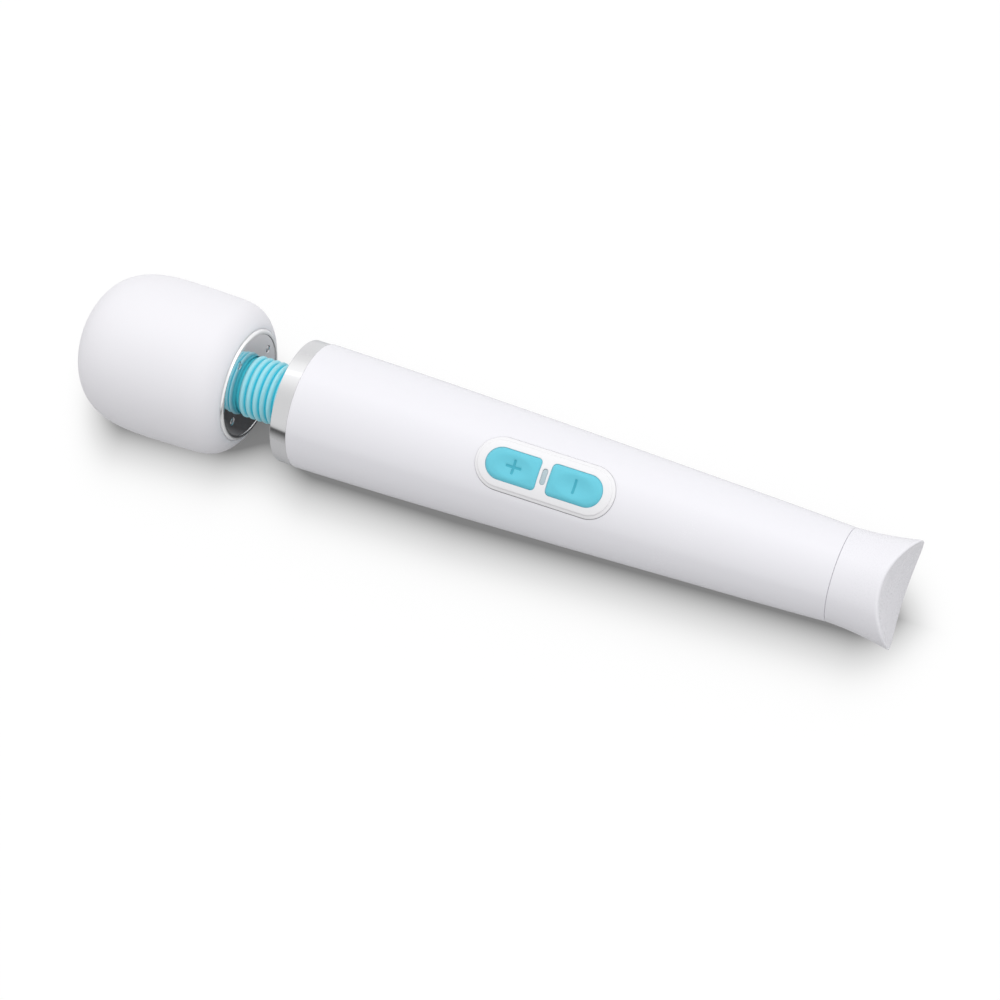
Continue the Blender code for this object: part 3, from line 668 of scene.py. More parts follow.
coil_a = coil("drive_spring_lower", COIL_FROM, SPLIT)
coil_b = coil("drive_spring_upper", SPLIT, COIL_TO)
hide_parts("drive_spring")
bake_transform(coil_a)
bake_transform(coil_b)

# ------------------------------------------------------------------ collar
COLLAR_RADIUS, COLLAR_BORE, COLLAR_INSIDE = 24.5, 12.8, 243.4
collar_corners = [
    (FRONT + 0.02, COLLAR_RADIUS, 0.02),
    (COLLAR, COLLAR_RADIUS, 0.3),
    (COLLAR, COLLAR_BORE, 0.35),
    (COLLAR_INSIDE, COLLAR_BORE, 0.15),
    (COLLAR_INSIDE, 21.9, 0.2),
    (234.0, 21.6, 0.1),
    (234.0, 22.0, 0.1),
    (FRONT + 0.04, 22.15, 0.1),
]
collar = lathe(
    "collar_band", rounded(collar_corners, 7), "polished_chrome", sides=192, sharp=40
)
register(collar, "collar_ring", "handle")


# ------------------------------------------------------------------ outlines on the handle
# Seen from above, as (dist, y). offset grows an outline outwards.
def racetrack(long, wide, offset, step=0.7):
    """Straight sides and half-round ends, about the middle of the panel."""
    radius = wide / 2
    half = long / 2 - radius
    grown = radius + offset
    arc_steps = max(16, int(math.pi * radius / step))
    side_steps = max(4, int(2 * half / step))
    out = []
    for side in (1, -1):
        for k in range(arc_steps + 1):
            turn = math.radians(-90 + 180 * k / arc_steps)
            along = side * (half + grown * math.cos(turn))
            out.append((PANEL_MID + along, side * grown * math.sin(turn)))
        for k in range(1, side_steps):
            along = side * (half - 2 * half * k / side_steps)
            out.append((PANEL_MID + along, side * grown))
    return out


def d_shape(side, near, long, wide, offset, corner, step=0.5):
    """Half-round far end and a straight near end with rounded corners. side is 1 towards
    the head and -1 towards the tail, and near is the distance from the panel's middle."""
    radius = wide / 2
    grown, grown_corner = radius + offset, corner + offset
    far = near + long - radius
    arc_steps = int(math.pi * radius / step)
    side_steps = int((far - near - corner) / step)
    corner_steps = max(4, int(corner * 1.57 / step * 2))
    near_steps = int((wide - 2 * corner) / step)
    out = []

    def round_corner(start, y):
        for k in range(corner_steps + 1):
            turn = math.radians(start + 90 * k / corner_steps)
            x = near + corner + grown_corner * math.cos(turn)
            out.append((x, y + grown_corner * math.sin(turn)))

    for k in range(arc_steps + 1):
        turn = math.radians(-90 + 180 * k / arc_steps)
        out.append((far + grown * math.cos(turn), grown * math.sin(turn)))
    for k in range(1, side_steps):
        out.append((far - (far - near - corner) * k / side_steps, grown))
    round_corner(90, radius - corner)
    for k in range(1, near_steps):
        out.append((near - offset, (radius - corner) - (wide - 2 * corner) * k / near_steps))
    round_corner(180, -(radius - corner))
    for k in range(1, side_steps):
        out.append((near + corner + (far - near - corner) * k / side_steps, -grown))
    return [(PANEL_MID + side * x, y) for x, y in out]


def capsule(long, wide, offset, arc_steps=14):
    """Racetrack across the wand, about the indicator's middle."""
    radius = wide / 2
    half = long / 2 - radius
    grown = radius + offset
    out = []
    for side in (1, -1):
        for k in range(arc_steps + 1):
            turn = math.radians(180 * k / arc_steps)
            y = side * (half + grown * math.sin(turn))
            out.append((LED_AT + side * grown * math.cos(turn), y))
        for k in range(1, 5):
            out.append((LED_AT - side * grown, side * (half - 2 * half * k / 5)))
    return out


def round_hole(offset, radius=3.6, sides=56):
    """Circle about the socket's middle."""
    turns = [2 * math.pi * k / sides for k in range(sides)]
    grown = radius + offset
    return [(JACK_AT + grown * math.cos(turn), grown * math.sin(turn)) for turn in turns]


# ------------------------------------------------------------------ fills between outlines
def inside(loop, points):
    """Which points lie inside a loop, by crossings."""
    loop = np.asarray(loop)
    x, y = np.asarray(points).T
    hit = np.zeros(len(x), bool)
    for (x1, y1), (x0, y0) in zip(loop, np.roll(loop, 1, axis=0)):
        crossing = (x0 - x1) * (y - y1) / (y0 - y1 + 1e-300) + x1
        hit ^= ((y1 > y) != (y0 > y)) & (x < crossing)
    return hit


def near_loop(loop, points, limit):
    apart = np.linalg.norm(points[:, None] - np.asarray(loop)[None], axis=2)
    return np.min(apart, axis=1) < limit


def between(outer, holes, points):
    mask = inside(outer, points)
    for hole in holes:
        mask &= ~inside(hole, points)
    return mask


def fill(outer, holes, spacing):
    """Triangles between an outer loop and its holes, with an even scatter of points inside.
    Returns points and triangles; the loops' points come first, in order."""
    points, edges = [], []
    for loop in (outer, *holes):
        base = len(points)
        points += [tuple(place) for place in loop]
        edges += [(base + i, base + (i + 1) % len(loop)) for i in range(len(loop))]
    low, high = np.min(outer, axis=0), np.max(outer, axis=0)
    columns = np.arange(low[0], high[0], spacing)
    rows = np.arange(low[1], high[1], spacing * 0.866)
    grid = [(x + (spacing / 2 if j % 2 else 0), y) for j, y in enumerate(rows) for x in columns]
    grid = np.array(grid)
    keep = between(outer, holes, grid)
    for loop in (outer, *holes):
        keep &= ~near_loop(loop, grid, spacing * 0.62)
    points += [tuple(place) for place in grid[keep]]
    places = [Vector(place) for place in points]
    verts, _, triangles, _, _, _ = delaunay_2d_cdt(places, edges, [], 0, 1e-6)
    verts = np.array([tuple(place) for place in verts])
    if len(verts) != len(points) or np.abs(verts - np.array(points)).max() > 1e-4:
        raise RuntimeError("the fill moved or merged points")
    triangles = np.array(triangles)
    return verts, triangles[between(outer, holes, verts[triangles].mean(1))]


class Patchwork:
    """Collects points and faces. Patches share loops by index."""

    def __init__(self):
        self.verts, self.faces, self.slots = [], [], []

    def loop(self, points):
        base = len(self.verts)
        self.verts += points
        return list(range(base, len(self.verts)))

    def face(self, corners, slot=0):
        self.faces.append(tuple(corners))
        self.slots.append(slot)

    def strip(self, first, second, slot=0):
        for i in range(len(first)):
            k = (i + 1) % len(first)
            self.face((first[i], first[k], second[k], second[i]), slot)

    def strips(self, last, loops):
        """Strips from the last loop on through new ones. Returns the new last loop."""
        for points in loops:
            new = self.loop(points)
            self.strip(last, new)
            last = new
        return last

    def triangles(self, ids, triangles, slot=0):
        for triangle in triangles:
            self.face((ids[corner] for corner in triangle), slot)

    def flat_base(self, rim, outline, z, spacing):
        """Closes a rim that follows the outline with a level face."""
        points, triangles = fill(outline, [], spacing)
        ids = rim + self.loop([point(dist, y, z) for dist, y in points[len(rim) :]])
        self.triangles(ids, triangles[:, ::-1])

    def object(self, name, looks, sharp):
        return mesh_object(
            name, self.verts, self.faces, looks, sharp, self.slots, weld=1e-7, dissolve=False
        )


# ------------------------------------------------------------------ handle shell
# A dense turned grid in two layers, outside and inside. In two windows the grid gives way to
# a fill around the panel opening and the socket hole.
HANDLE_RADII = (  # (dist, radius)
    (24.3, 18.0), (55.0, 19.35), (85.8, 20.45), (116.5, 21.6),
    (147.3, 22.62), (178.0, 23.55), (208.8, 24.32), (239.5, 24.85),
)
handle_radius = spline(*zip(*HANDLE_RADII))
WALL, WIDEST_INSIDE = 2.2, 22.65
SIDES = 300
SEAM_ROUND, FRONT_ROUND = 0.3, 0.5
SEAM_STEPS = (0.0, 0.06, 0.16, 0.3, 0.5, 0.9)  # distances from the seam's end
FRONT_STEPS = (  # distances from the head's end
    2.0, 1.5, 1.0, 0.7, 0.5, 0.41, 0.33, 0.26, 0.195, 0.14, 0.095, 0.055, 0.025, 0.008, 0.0,
)
WINDOW_MARGIN = 7
PANEL_WINDOW_HALF = math.radians(46)
JACK_WINDOW_HALF = 18  # columns either side of the bottom
PANEL_FIT = 0.04
BLEND = 5.0  # how far from a hole the inside settles back into round
# (distance outside the hole's edge, drop below the surface) over the rounding of each hole
PANEL_ROUNDING = [(0.1, 0.0), (0.05, 0.015), (0.015, 0.05), (0.0, 0.12)]
JACK_ROUNDING = [(0.22, 0.0), (0.13, 0.03), (0.06, 0.08), (0.015, 0.15), (0.0, 0.24)]

station_list = [SHELL_START + step for step in SEAM_STEPS]
station_list += list(np.arange(SEAM + 2.35, FRONT - 2.2, 1.2))
station_list += [FRONT - step for step in FRONT_STEPS]
stations = sorted(set(np.round(station_list, 4).tolist()))
# from +Z towards +Y, from just above -pi up to pi
angles = np.arange(SIDES) * 2 * math.pi / SIDES
angles = np.sort(np.where(angles > math.pi, angles - 2 * math.pi, angles)).tolist()


def end_drop(inward, rounding):
    """How far the surface falls away at a rounded end."""
    if inward >= rounding:
        return 0.0
    return rounding - math.sqrt(max(rounding**2 - (rounding - inward) ** 2, 0))


def shell_outer(dist):
    radius = float(handle_radius(dist)) - end_drop(dist - SHELL_START, SEAM_ROUND)
    return radius - end_drop(FRONT - dist, FRONT_ROUND)


def shell_inner(dist):
    return min(float(handle_radius(dist)) - WALL, WIDEST_INSIDE)


def grid_id(layer, i, j):
    return (layer * len(stations) + i) * SIDES + j


def window(dist, half_long, columns):
    """First row, last row and columns of a window in the grid."""
    first = int(np.searchsorted(stations, dist - half_long - WINDOW_MARGIN))
    last = int(np.searchsorted(stations, dist + half_long + WINDOW_MARGIN))
    return first, last, columns


def perimeter(first, last, columns):
    """Grid places (row, column) round a window."""
    out = [(first, j) for j in columns[:-1]]
    out += [(i, columns[-1]) for i in range(first, last)]
    out += [(last, j) for j in columns[::-1][:-1]]
    out += [(i, columns[0]) for i in range(last, first, -1)]
    return out


def cut_window(shell, opening, hole, rounding, below=False):
    """Fills between the window's edge and the hole, then joins the layers through the hole.
    The work is in (dist, y) on the outside; below is for a hole on the bottom."""
    sign = -1 if below else 1
    edge = perimeter(*opening)

    def flat(i, j):
        angle = angles[j]
        if below:
            angle = math.copysign(math.pi, angle) - angle
        return stations[i], shell_outer(stations[i]) * math.sin(angle)

    def on_layer(layer, dist, y):
        radius = shell_outer(dist)
        if layer == 1:
            gap = float(np.min(np.linalg.norm(hole_edge - np.array([dist, y]), axis=1)))
            weight = min(1.0, gap / BLEND)
            weight = weight * weight * (3 - 2 * weight)
            y = y * (1 - weight * (1 - shell_inner(dist) / radius))
            radius = shell_inner(dist)
        return point(dist, y, sign * math.sqrt(radius * radius - y * y))

    def lowered(offset, drop):
        return [
            point(dist, y, sign * math.sqrt((shell_outer(dist) - drop) ** 2 - y * y))
            for dist, y in hole(offset)
        ]

    hole_edge = np.array(hole(0.0))
    first = hole(rounding[0][0])
    points, triangles = fill([flat(i, j) for i, j in edge], [first], 1.15)
    added = points[len(edge) :].tolist()
    rims = []
    for layer in (0, 1):
        ids = [grid_id(layer, i, j) for i, j in edge]
        ids += shell.loop([on_layer(layer, dist, y) for dist, y in added])
        shell.triangles(ids, triangles)
        rims.append(ids[len(edge) : len(edge) + len(first)])
    last = shell.strips(rims[0], [lowered(*step) for step in rounding[1:]])
    shell.strip(last, rims[1])


def build_shell():
    panel_columns = [j for j in range(SIDES) if abs(angles[j]) <= PANEL_WINDOW_HALF]
    # the socket's columns run across the wrap at the bottom
    first_column = SIDES - JACK_WINDOW_HALF - 1
    jack_columns = [(first_column + j) % SIDES for j in range(2 * JACK_WINDOW_HALF + 2)]
    panel_window = window(PANEL_MID, PANEL_LONG / 2, panel_columns)
    jack_window = window(JACK_AT, 0, jack_columns)
    skipped = {
        (i, j)
        for first, last, columns in (panel_window, jack_window)
        for i in range(first, last)
        for j in columns[:-1]
    }
    shell = Patchwork()
    for radius_at in (shell_outer, shell_inner):
        for dist in stations:
            radius = radius_at(dist)
            shell.loop(
                [point(dist, radius * math.sin(turn), radius * math.cos(turn)) for turn in angles]
            )
    for layer in (0, 1):
        for i in range(len(stations) - 1):
            for j in range(SIDES):
                if (i, j) in skipped:
                    continue
                k = (j + 1) % SIDES
                corners = ((i, j), (i, k), (i + 1, k), (i + 1, j))
                shell.face(grid_id(layer, *corner) for corner in corners)
    for i in (0, len(stations) - 1):
        shell.strip(*([grid_id(layer, i, j) for j in range(SIDES)] for layer in (0, 1)))
    opening = partial(racetrack, PANEL_LONG + 2 * PANEL_FIT, PANEL_WIDE + 2 * PANEL_FIT)
    cut_window(shell, panel_window, opening, PANEL_ROUNDING)
    cut_window(shell, jack_window, round_hole, JACK_ROUNDING, below=True)
    piece = shell.object("handle_shell_white", ["gloss_white_shell"], sharp=50)
    register(piece, "handle_shell", "handle")


build_shell()

# ------------------------------------------------------------------ panel frame
# Heights are above the handle's outside.
TOP, LEDGE, UNDER = 0.95, 0.5, -1.85
GAP = 0.35  # around a key
KEY_WIDE = 11.7
# distances from the panel's middle, by side: 1 towards the head, -1 towards the tail
KEY_NEAR = {1: 2.75, -1: 2.1}  # the key on the tail side reaches closer to the indicator
KEY_FAR = {1: 22.95, -1: 22.6}
KEY_CORNER, KEY_HOLE_CORNER = 1.4, 1.75
LED_LONG, LED_WIDE, LED_FIT = 6.2, 2.1, 0.04
TOP_INSET = -1.6
# (offset, height) from the raised top out over the ledge and down
PANEL_EDGE = [
    (-1.44, TOP - 0.025), (-1.34, TOP - 0.1), (-1.29, TOP - 0.22), (-1.26, LEDGE + 0.12),
    (-1.22, LEDGE + 0.03), (-1.16, LEDGE), (-0.65, LEDGE - 0.02), (-0.3, LEDGE - 0.07),
    (-0.15, LEDGE - 0.14), (-0.08, LEDGE - 0.24), (-0.06, LEDGE - 0.36),
]
LEDGE_FROM, LEDGE_SHIFT = -1.2, 0.05  # outside this offset the edge sits a little to +Y
HOLE_ROUND = 0.22
HOLE_EDGE = [(0.12, TOP - 0.02), (0.05, TOP - 0.06), (0.0, TOP - 0.16)]  # (offset, height)


def lift(dist, y, height):
    """A point above the handle's outside, in line with (dist, y)."""
    radius = float(handle_radius(dist)) + height
    return point(dist, y, math.sqrt(max(radius * radius - y * y, 0)))


def lift_all(outline, height):
    return [lift(dist, y, height) for dist, y in outline]


def key_hole(side, offset):
    long = KEY_FAR[side] - KEY_NEAR[side] + 2 * GAP
    near = KEY_NEAR[side] - GAP
    return d_shape(side, near, long, KEY_WIDE + 2 * GAP, offset, KEY_HOLE_CORNER)


def panel_outline(offset):
    shift = LEDGE_SHIFT if offset > LEDGE_FROM else 0.0
    return [(dist, y + shift) for dist, y in racetrack(PANEL_LONG, PANEL_WIDE, offset)]


def build_panel():
    led_hole = partial(capsule, LED_LONG + LED_FIT, LED_WIDE + LED_FIT)
    holes = (partial(key_hole, 1), partial(key_hole, -1), led_hole)
    panel = Patchwork()
    top_outline = panel_outline(TOP_INSET)
    points, triangles = fill(top_outline, [hole(HOLE_ROUND) for hole in holes], 0.8)
    top = panel.loop(lift_all(points, TOP))
    panel.triangles(top, triangles)
    edge = [lift_all(panel_outline(offset), height) for offset, height in PANEL_EDGE]
    last = panel.strips(top[: len(top_outline)], edge)
    under_outline = panel_outline(PANEL_EDGE[-1][0])
    points, triangles = fill(under_outline, [hole(0.0) for hole in holes], 1.2)
    under = panel.loop(lift_all(points, UNDER))
    panel.triangles(under, triangles[:, ::-1])
    panel.strip(last, under[: len(under_outline)])
    top_at, under_at = len(top_outline), len(under_outline)
    for hole in holes:
        count = len(hole(0.0))
        walls = [lift_all(hole(offset), height) for offset, height in HOLE_EDGE]
        last = panel.strips(top[top_at : top_at + count], walls)
        panel.strip(last, under[under_at : under_at + count])
        top_at += count
        under_at += count
    piece = panel.object("control_panel_frame", ["gloss_white_frame"], sharp=60)
    register(piece, "panel_frame", "handle")


build_panel()

# ------------------------------------------------------------------ keys
KEY_FIT = 0.05
KEY_TOP = 1.5
DISH_DEEP, DISH_HALF_LONG, DISH_HALF_WIDE, DISH_POWER = 1.15, 8.2, 4.6, 1.6
GLYPH_AT = {1: 12.3, -1: 11.95}  # middle of dish and glyph from the panel's middle, by side
GLYPH_WIDE, PLUS_LONG, PLUS_ACROSS, MINUS_ACROSS = 0.9, 6.1, 5.6, 5.5
GLYPH_ROUND, GLYPH_DEEP = 0.28, 0.16
CROWN_INSET = -1.65
# (offset, drop below the crown) over the rounded shoulder
SHOULDER = [
    (-1.35, 0.025), (-1.08, 0.08), (-0.82, 0.165), (-0.58, 0.28),
    (-0.38, 0.42), (-0.21, 0.58), (-0.08, 0.74), (0.0, 0.92),
]
FLANGE, FLANGE_THICK = 1.0, 1.2
QUADRANTS = ((1, 1, 0), (-1, 1, 90), (-1, -1, 180), (1, -1, 270))  # signs, first degree


def glyph_arc(centre, x, y, start, offset, steps=4):
    """Quarter circle about a place that is measured from the glyph's centre."""
    radius = GLYPH_ROUND + offset
    turns = [math.radians(start + 90 * k / steps) for k in range(steps + 1)]
    return [(centre + x + radius * math.cos(turn), y + radius * math.sin(turn)) for turn in turns]


def minus_glyph(centre, offset):
    """Bar across the wand."""
    x, y = GLYPH_WIDE / 2 - GLYPH_ROUND, MINUS_ACROSS / 2 - GLYPH_ROUND
    out = []
    for sign_x, sign_y, start in QUADRANTS:
        out += glyph_arc(centre, sign_x * x, sign_y * y, start, offset)
    return densify(out, 0.35)


def plus_glyph(centre, offset):
    half = GLYPH_WIDE / 2
    notch = half + offset
    tips = [
        (PLUS_LONG / 2 - GLYPH_ROUND, half - GLYPH_ROUND),
        (half - GLYPH_ROUND, PLUS_ACROSS / 2 - GLYPH_ROUND),
    ]
    out = []
    for sign_x, sign_y, start in QUADRANTS:
        first, second = tips if sign_x == sign_y else tips[::-1]
        out += glyph_arc(centre, sign_x * first[0], sign_y * first[1], start, offset)
        out.append((centre + sign_x * notch, sign_y * notch))
        out += glyph_arc(centre, sign_x * second[0], sign_y * second[1], start, offset)
    return densify(out, 0.35)


def build_key(name, side, glyph):
    centre = PANEL_MID + side * GLYPH_AT[side]
    low = bottom(f"button_{name}")
    flange_top = low + FLANGE_THICK

    def below_crown(outline, drop=0.0):
        out = []
        for dist, y in outline:
            reach = ((dist - centre) / DISH_HALF_LONG) ** 2 + (y / DISH_HALF_WIDE) ** 2
            dish = DISH_DEEP * max(0.0, 1 - reach) ** DISH_POWER
            out.append(lift(dist, y, KEY_TOP - dish - drop))
        return out

    def outline(offset):
        long = KEY_FAR[side] - KEY_NEAR[side]
        grown = offset + GAP - KEY_FIT
        return d_shape(side, KEY_NEAR[side], long, KEY_WIDE, grown, KEY_CORNER)

    key = Patchwork()
    crown_edge = outline(CROWN_INSET)
    # the glyph's rim and its floor keep their own loops, so the engraving is crisp
    glyph_rim, glyph_floor = glyph(centre, 0.05), glyph(centre, -0.07)
    points, triangles = fill(crown_edge, [glyph_rim], 0.6)
    crown = key.loop(below_crown(points))
    key.triangles(crown, triangles)
    points, triangles = fill(glyph_floor, [], 0.3)
    floor_ids = key.loop(below_crown(points, GLYPH_DEEP))
    count = len(crown_edge)
    rim = crown[count : count + len(glyph_rim)]
    key.strip(rim, floor_ids[: len(glyph_floor)], slot=1)
    key.triangles(floor_ids, triangles, slot=1)
    shoulder = [below_crown(outline(offset), drop) for offset, drop in SHOULDER]
    last = key.strips(crown[:count], shoulder)
    # straight sides down to the retaining flange, then round the flange
    sides = [
        (0.0, flange_top + 0.05), (0.06, flange_top), (FLANGE - 0.1, flange_top),
        (FLANGE, flange_top - 0.1), (FLANGE, low + 0.1), (FLANGE - 0.1, low),
    ]
    walls = [[point(dist, y, z) for dist, y in outline(offset)] for offset, z in sides]
    last = key.strips(last, walls)
    key.flat_base(last, outline(FLANGE - 0.1), low, spacing=1.5)
    piece = key.object(f"key_{name}_teal", ["teal_silicone_key", "teal_glyph"], sharp=70)
    register(piece, f"button_{name}", f"key_{name}")


build_key("plus", 1, plus_glyph)
build_key("minus", -1, minus_glyph)

# ------------------------------------------------------------------ indicator window
LED_TOP, LED_CROWN, LED_CROWN_HALF = 0.62, 0.04, 3.2
LED_INSET = -0.5
LED_EDGE = [(-0.3, 0.6), (-0.16, 0.55), (-0.06, 0.46), (0.0, 0.34)]  # (offset, height)


def build_indicator():
    outline = partial(capsule, LED_LONG, LED_WIDE)
    low = bottom("led_window")
    led = Patchwork()
    top_edge = outline(LED_INSET)
    points, triangles = fill(top_edge, [], 0.4)
    top = led.loop(
        [
            lift(dist, y, LED_TOP + LED_CROWN * (1 - (y / LED_CROWN_HALF) ** 2))
            for dist, y in points
        ]
    )
    led.triangles(top, triangles)
    walls = [lift_all(outline(offset), height) for offset, height in LED_EDGE]
    walls.append([point(dist, y, low) for dist, y in outline(0.0)])
    last = led.strips(top[: len(top_edge)], walls)
    led.flat_base(last, outline(0.0), low, spacing=0.8)
    piece = led.object("indicator_window", ["indicator_diffuser"], sharp=60)
    register(piece, "led_window", "handle")


build_indicator()

# ------------------------------------------------------------------ tail cap
CAP_RADII = (  # (dist, radius)
    (0.0, 20.8), (2.0, 20.42), (5.0, 19.88), (10.0, 19.1), (15.0, 18.5), (20.0, 18.12),
    (24.3, 18.0),
)
cap_radius = spline(*zip(*CAP_RADII))
SCOOP_DEEP, SCOOP_HALF = 4.7, 20.3
SCOOP_RADIUS = (SCOOP_HALF**2 + SCOOP_DEEP**2) / (2 * SCOOP_DEEP)
CAP_SIDES = 288
PLUG_END, PLUG_BORE, PLUG_RADIUS, GROOVE_RADIUS, FLOOR_AT = 33.0, 13.2, 15.4, 14.2, 12.0
WALL_START = SEAM - 0.4
WALL_STEPS, RIM_STEPS, FACE_STEPS = 30, 10, 30
RIM_REACH = 0.9  # how far in the rim's rounding reaches, as a share of its depth


def scoop(y, z):
    """Depth of the scooped end, a little deeper towards the panel's side (+Z)."""
    base = SCOOP_DEEP - (SCOOP_RADIUS - math.sqrt(SCOOP_RADIUS**2 - y * y))
    # the lip on the far side from the panel
    lip = max(0.0, (math.hypot(y, z) - 18.2) / 2.6) ** 2 * max(0.0, min(1.0, -z / 6.0))
    return base * (1 + 0.010 * z) + z * 0.022 + 0.42 * lip


def rim_station(turn):
    """Where the outside meets the scoop, found by repeated substitution."""
    dist = 2.5
    for _ in range(30):
        radius = float(cap_radius(dist))
        dist = max(0.0, scoop(radius * math.cos(turn), radius * math.sin(turn)))
    return dist


def rim_rounding(turn):
    """Soft on the panel's side, a thin lip on the far side and fairly crisp at the tips."""
    thin, extra, at_tips = 0.22, 1.15, 0.5
    up = 0.5 + 0.5 * math.sin(turn)
    tip = abs(math.cos(turn)) ** 6
    return (thin + extra * up * up * (3 - 2 * up)) * (1 - tip) + at_tips * tip


def polar(dist, radius, turn):
    return point(dist, radius * math.cos(turn), radius * math.sin(turn))


def end_point(radius, turn):
    y, z = radius * math.cos(turn), radius * math.sin(turn)
    return point(max(scoop(y, z), 0.0), y, z)


def build_tail_cap():
    turns = (np.arange(CAP_SIDES) * 2 * math.pi / CAP_SIDES).tolist()  # from +Y towards +Z
    rims = [(turn, rim_station(turn), rim_rounding(turn)) for turn in turns]
    plug = rounded(
        [
            (PLUG_END, PLUG_BORE, 0.2), (PLUG_END, 15.3, 0.3),
            (31.0, PLUG_RADIUS, 0.1), (31.0, GROOVE_RADIUS, 0.1),
            (28.6, GROOVE_RADIUS, 0.1), (28.6, PLUG_RADIUS, 0.1),
            (SEAM + 0.05, PLUG_RADIUS, 0.1),
        ],
        3,
    )
    seam_face = [
        (SEAM, 15.6), (SEAM, 17.78), (SEAM - 0.02, 17.88), (SEAM - 0.07, 17.95),
        (SEAM - 0.16, 18.0), (WALL_START, 18.0),
    ]
    verts = [polar(dist, radius, turn) for dist, radius in plug + seam_face for turn in turns]
    # the outside wall, from the seam to the rim
    for k in range(1, WALL_STEPS + 1):
        part = k / WALL_STEPS
        for turn, rim, rounding in rims:
            dist = WALL_START * (1 - part) + (rim + rounding) * part
            verts.append(polar(dist, float(cap_radius(dist)), turn))
    # the rounded rim, over onto the end face
    for k in range(1, RIM_STEPS + 1):
        over = math.radians(90 * k / RIM_STEPS)
        for turn, rim, rounding in rims:
            dist = rim + rounding * (1 - math.sin(over))
            inward = rounding * (1 - math.cos(over)) * RIM_REACH
            verts.append(polar(dist, float(cap_radius(dist)) - inward, turn))
    # the scooped end face
    for k in range(1, FACE_STEPS):
        part = 1 - k / FACE_STEPS
        for turn, rim, rounding in rims:
            radius = float(cap_radius(rim)) - rounding * RIM_REACH
            verts.append(end_point(radius * part, turn))
    faces = ring_faces(len(verts) // CAP_SIDES, CAP_SIDES)
    centre = len(verts)
    last = centre - CAP_SIDES
    verts.append(end_point(0.0, 0.0))
    for j in range(CAP_SIDES):
        faces.append((last + j, last + (j + 1) % CAP_SIDES, centre))
    # the plug is hollow: its bore runs up to a flat floor behind the end face
    bore = len(verts)
    for dist, radius in ((PLUG_END - 0.2, PLUG_BORE), (FLOOR_AT, 13.4)):
        verts += [polar(dist, radius, turn) for turn in turns]
    deep = bore + CAP_SIDES
    for j in range(CAP_SIDES):
        k = (j + 1) % CAP_SIDES
        faces.append((j, k, bore + k, bore + j))
        faces.append((bore + j, bore + k, deep + k, deep + j))
    floor_centre = len(verts)
    verts.append(point(FLOOR_AT, 0, 0))
    for j in range(CAP_SIDES):
        faces.append((deep + j, deep + (j + 1) % CAP_SIDES, floor_centre))
    tail = mesh_object("tail_cap_white", verts, faces, ["gloss_white_cap"], sharp=60)
    register(tail, "tail_cap", "handle")


build_tail_cap()

# ------------------------------------------------------------------ charging socket
JACK_MOUTH = bottom("charge_jack")
JACK_RADIUS, JACK_BORE, JACK_FLOOR, JACK_TOP = 3.2, 1.75, -14.4, -11.0
jack_corners = [  # (z, radius, rounding)
    (JACK_MOUTH, JACK_BORE, 0.12), (JACK_MOUTH, JACK_RADIUS, 0.15),
    (JACK_TOP, JACK_RADIUS, 0.1), (JACK_TOP, 0.0, 0),
    (JACK_FLOOR, 0.0, 0), (JACK_FLOOR, JACK_BORE, 0.0),
]
PIN_OUTLINE = [  # (z, radius)
    (-14.6, 0.0), (-14.6, 0.5), (-17.4, 0.5), (-17.65, 0.4), (-17.75, 0.2), (-17.78, 0.0),
]
upright_lathe = partial(lathe, sharp=35, centre=(JACK_AT, 0.0), upright=True)
jack = upright_lathe("charging_socket", rounded(jack_corners, 4), "black_socket", sides=64)
pin = upright_lathe("charging_socket_pin", PIN_OUTLINE, "plated_screw", sides=32)
register(jack, "charge_jack", "handle")
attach(pin, "handle")

# ------------------------------------------------------------------ floor
# Seen directly the floor glows paper white, with a painted soft contact shadow on the side away
# from the key light (-Y); for bounced light it is grey, with painted shadow under the wand and
# painted light on the key light's side. The painted shade is a smooth function of the distance
# from the line the wand lies on. Lengths are millimetres of world X and Y.
FLOOR_DROP = 0.0006  # metres below the wand
LIT_SHIFT, LIT_STEEP = 8.0, 1.4  # the lit side starts this far to -Y, and fades this much faster
TAIL_NARROW = dict(slope=0.045, offset=-0.5, least=-1.0)  # by X
HEAD_WIDEN = dict(slope=-0.06, offset=-6.3)  # by X: the head is thicker
TAIL_PAST, TAIL_STEEP = 149.0, 0.82  # X where the tail's end starts, and its slope
HEAD_PAST = -157.0  # X where the head's end starts
PAST_STEEP = 1.7  # both ends
WIDEN_FROM, WIDEN_SLOPE = -20.0, 0.014  # the shade widens slowly towards the head
NECK_BACK, NECK_HALF = 94.0, 22.0  # the neck's distance to -X, and half the gap's length
NECK_LIFT = 4.8  # least light through the gap, as extra distance
NECK_INWARD = dict(start=30.0, slope=0.3, most=4.5)  # more of it from this far to -Y inwards
FADE = dict(start=24.5, length=10.0, power=1.05)
OUTER_FADE = dict(start=36.5, power=1.7, scale=0.012)
SHADE_DEPTH = 0.8
CORE_REACH, CORE_SHADE = 27.0, 0.2  # right under the wand real shadow takes over
# painted shade in the floor's colour for bounced light: painted shadow under the wand, plain grey
# away from it, painted light under the key light
BOUNCE_PAINTED_SHADOW = (0.10, 0.10, 0.102)  # colours for bounced light: under the wand,
BOUNCE_GREY = (0.62, 0.62, 0.625)  # away from it
BOUNCE_PAINTED_LIGHT = (0.93, 0.93, 0.935)  # and under the key light
BOUNCE_SHADOW_SLOPE, BOUNCE_SHADOW_OFFSET = 0.06, -1.0  # from under to away, by distance
LIT_SLOPE, LIT_OFFSET = 0.02, -0.2  # from away to lit, by Y
DIFFUSE_DIM = (0.68, 0.68, 0.68)
# colours seen directly: low where the painted glow makes the floor white, higher right under the
# wand, where real shadow takes over
SEEN_AWAY, SEEN_UNDER = (0.05, 0.05, 0.05), (0.34, 0.34, 0.343)  # own colours seen directly
GLOW = 0.95


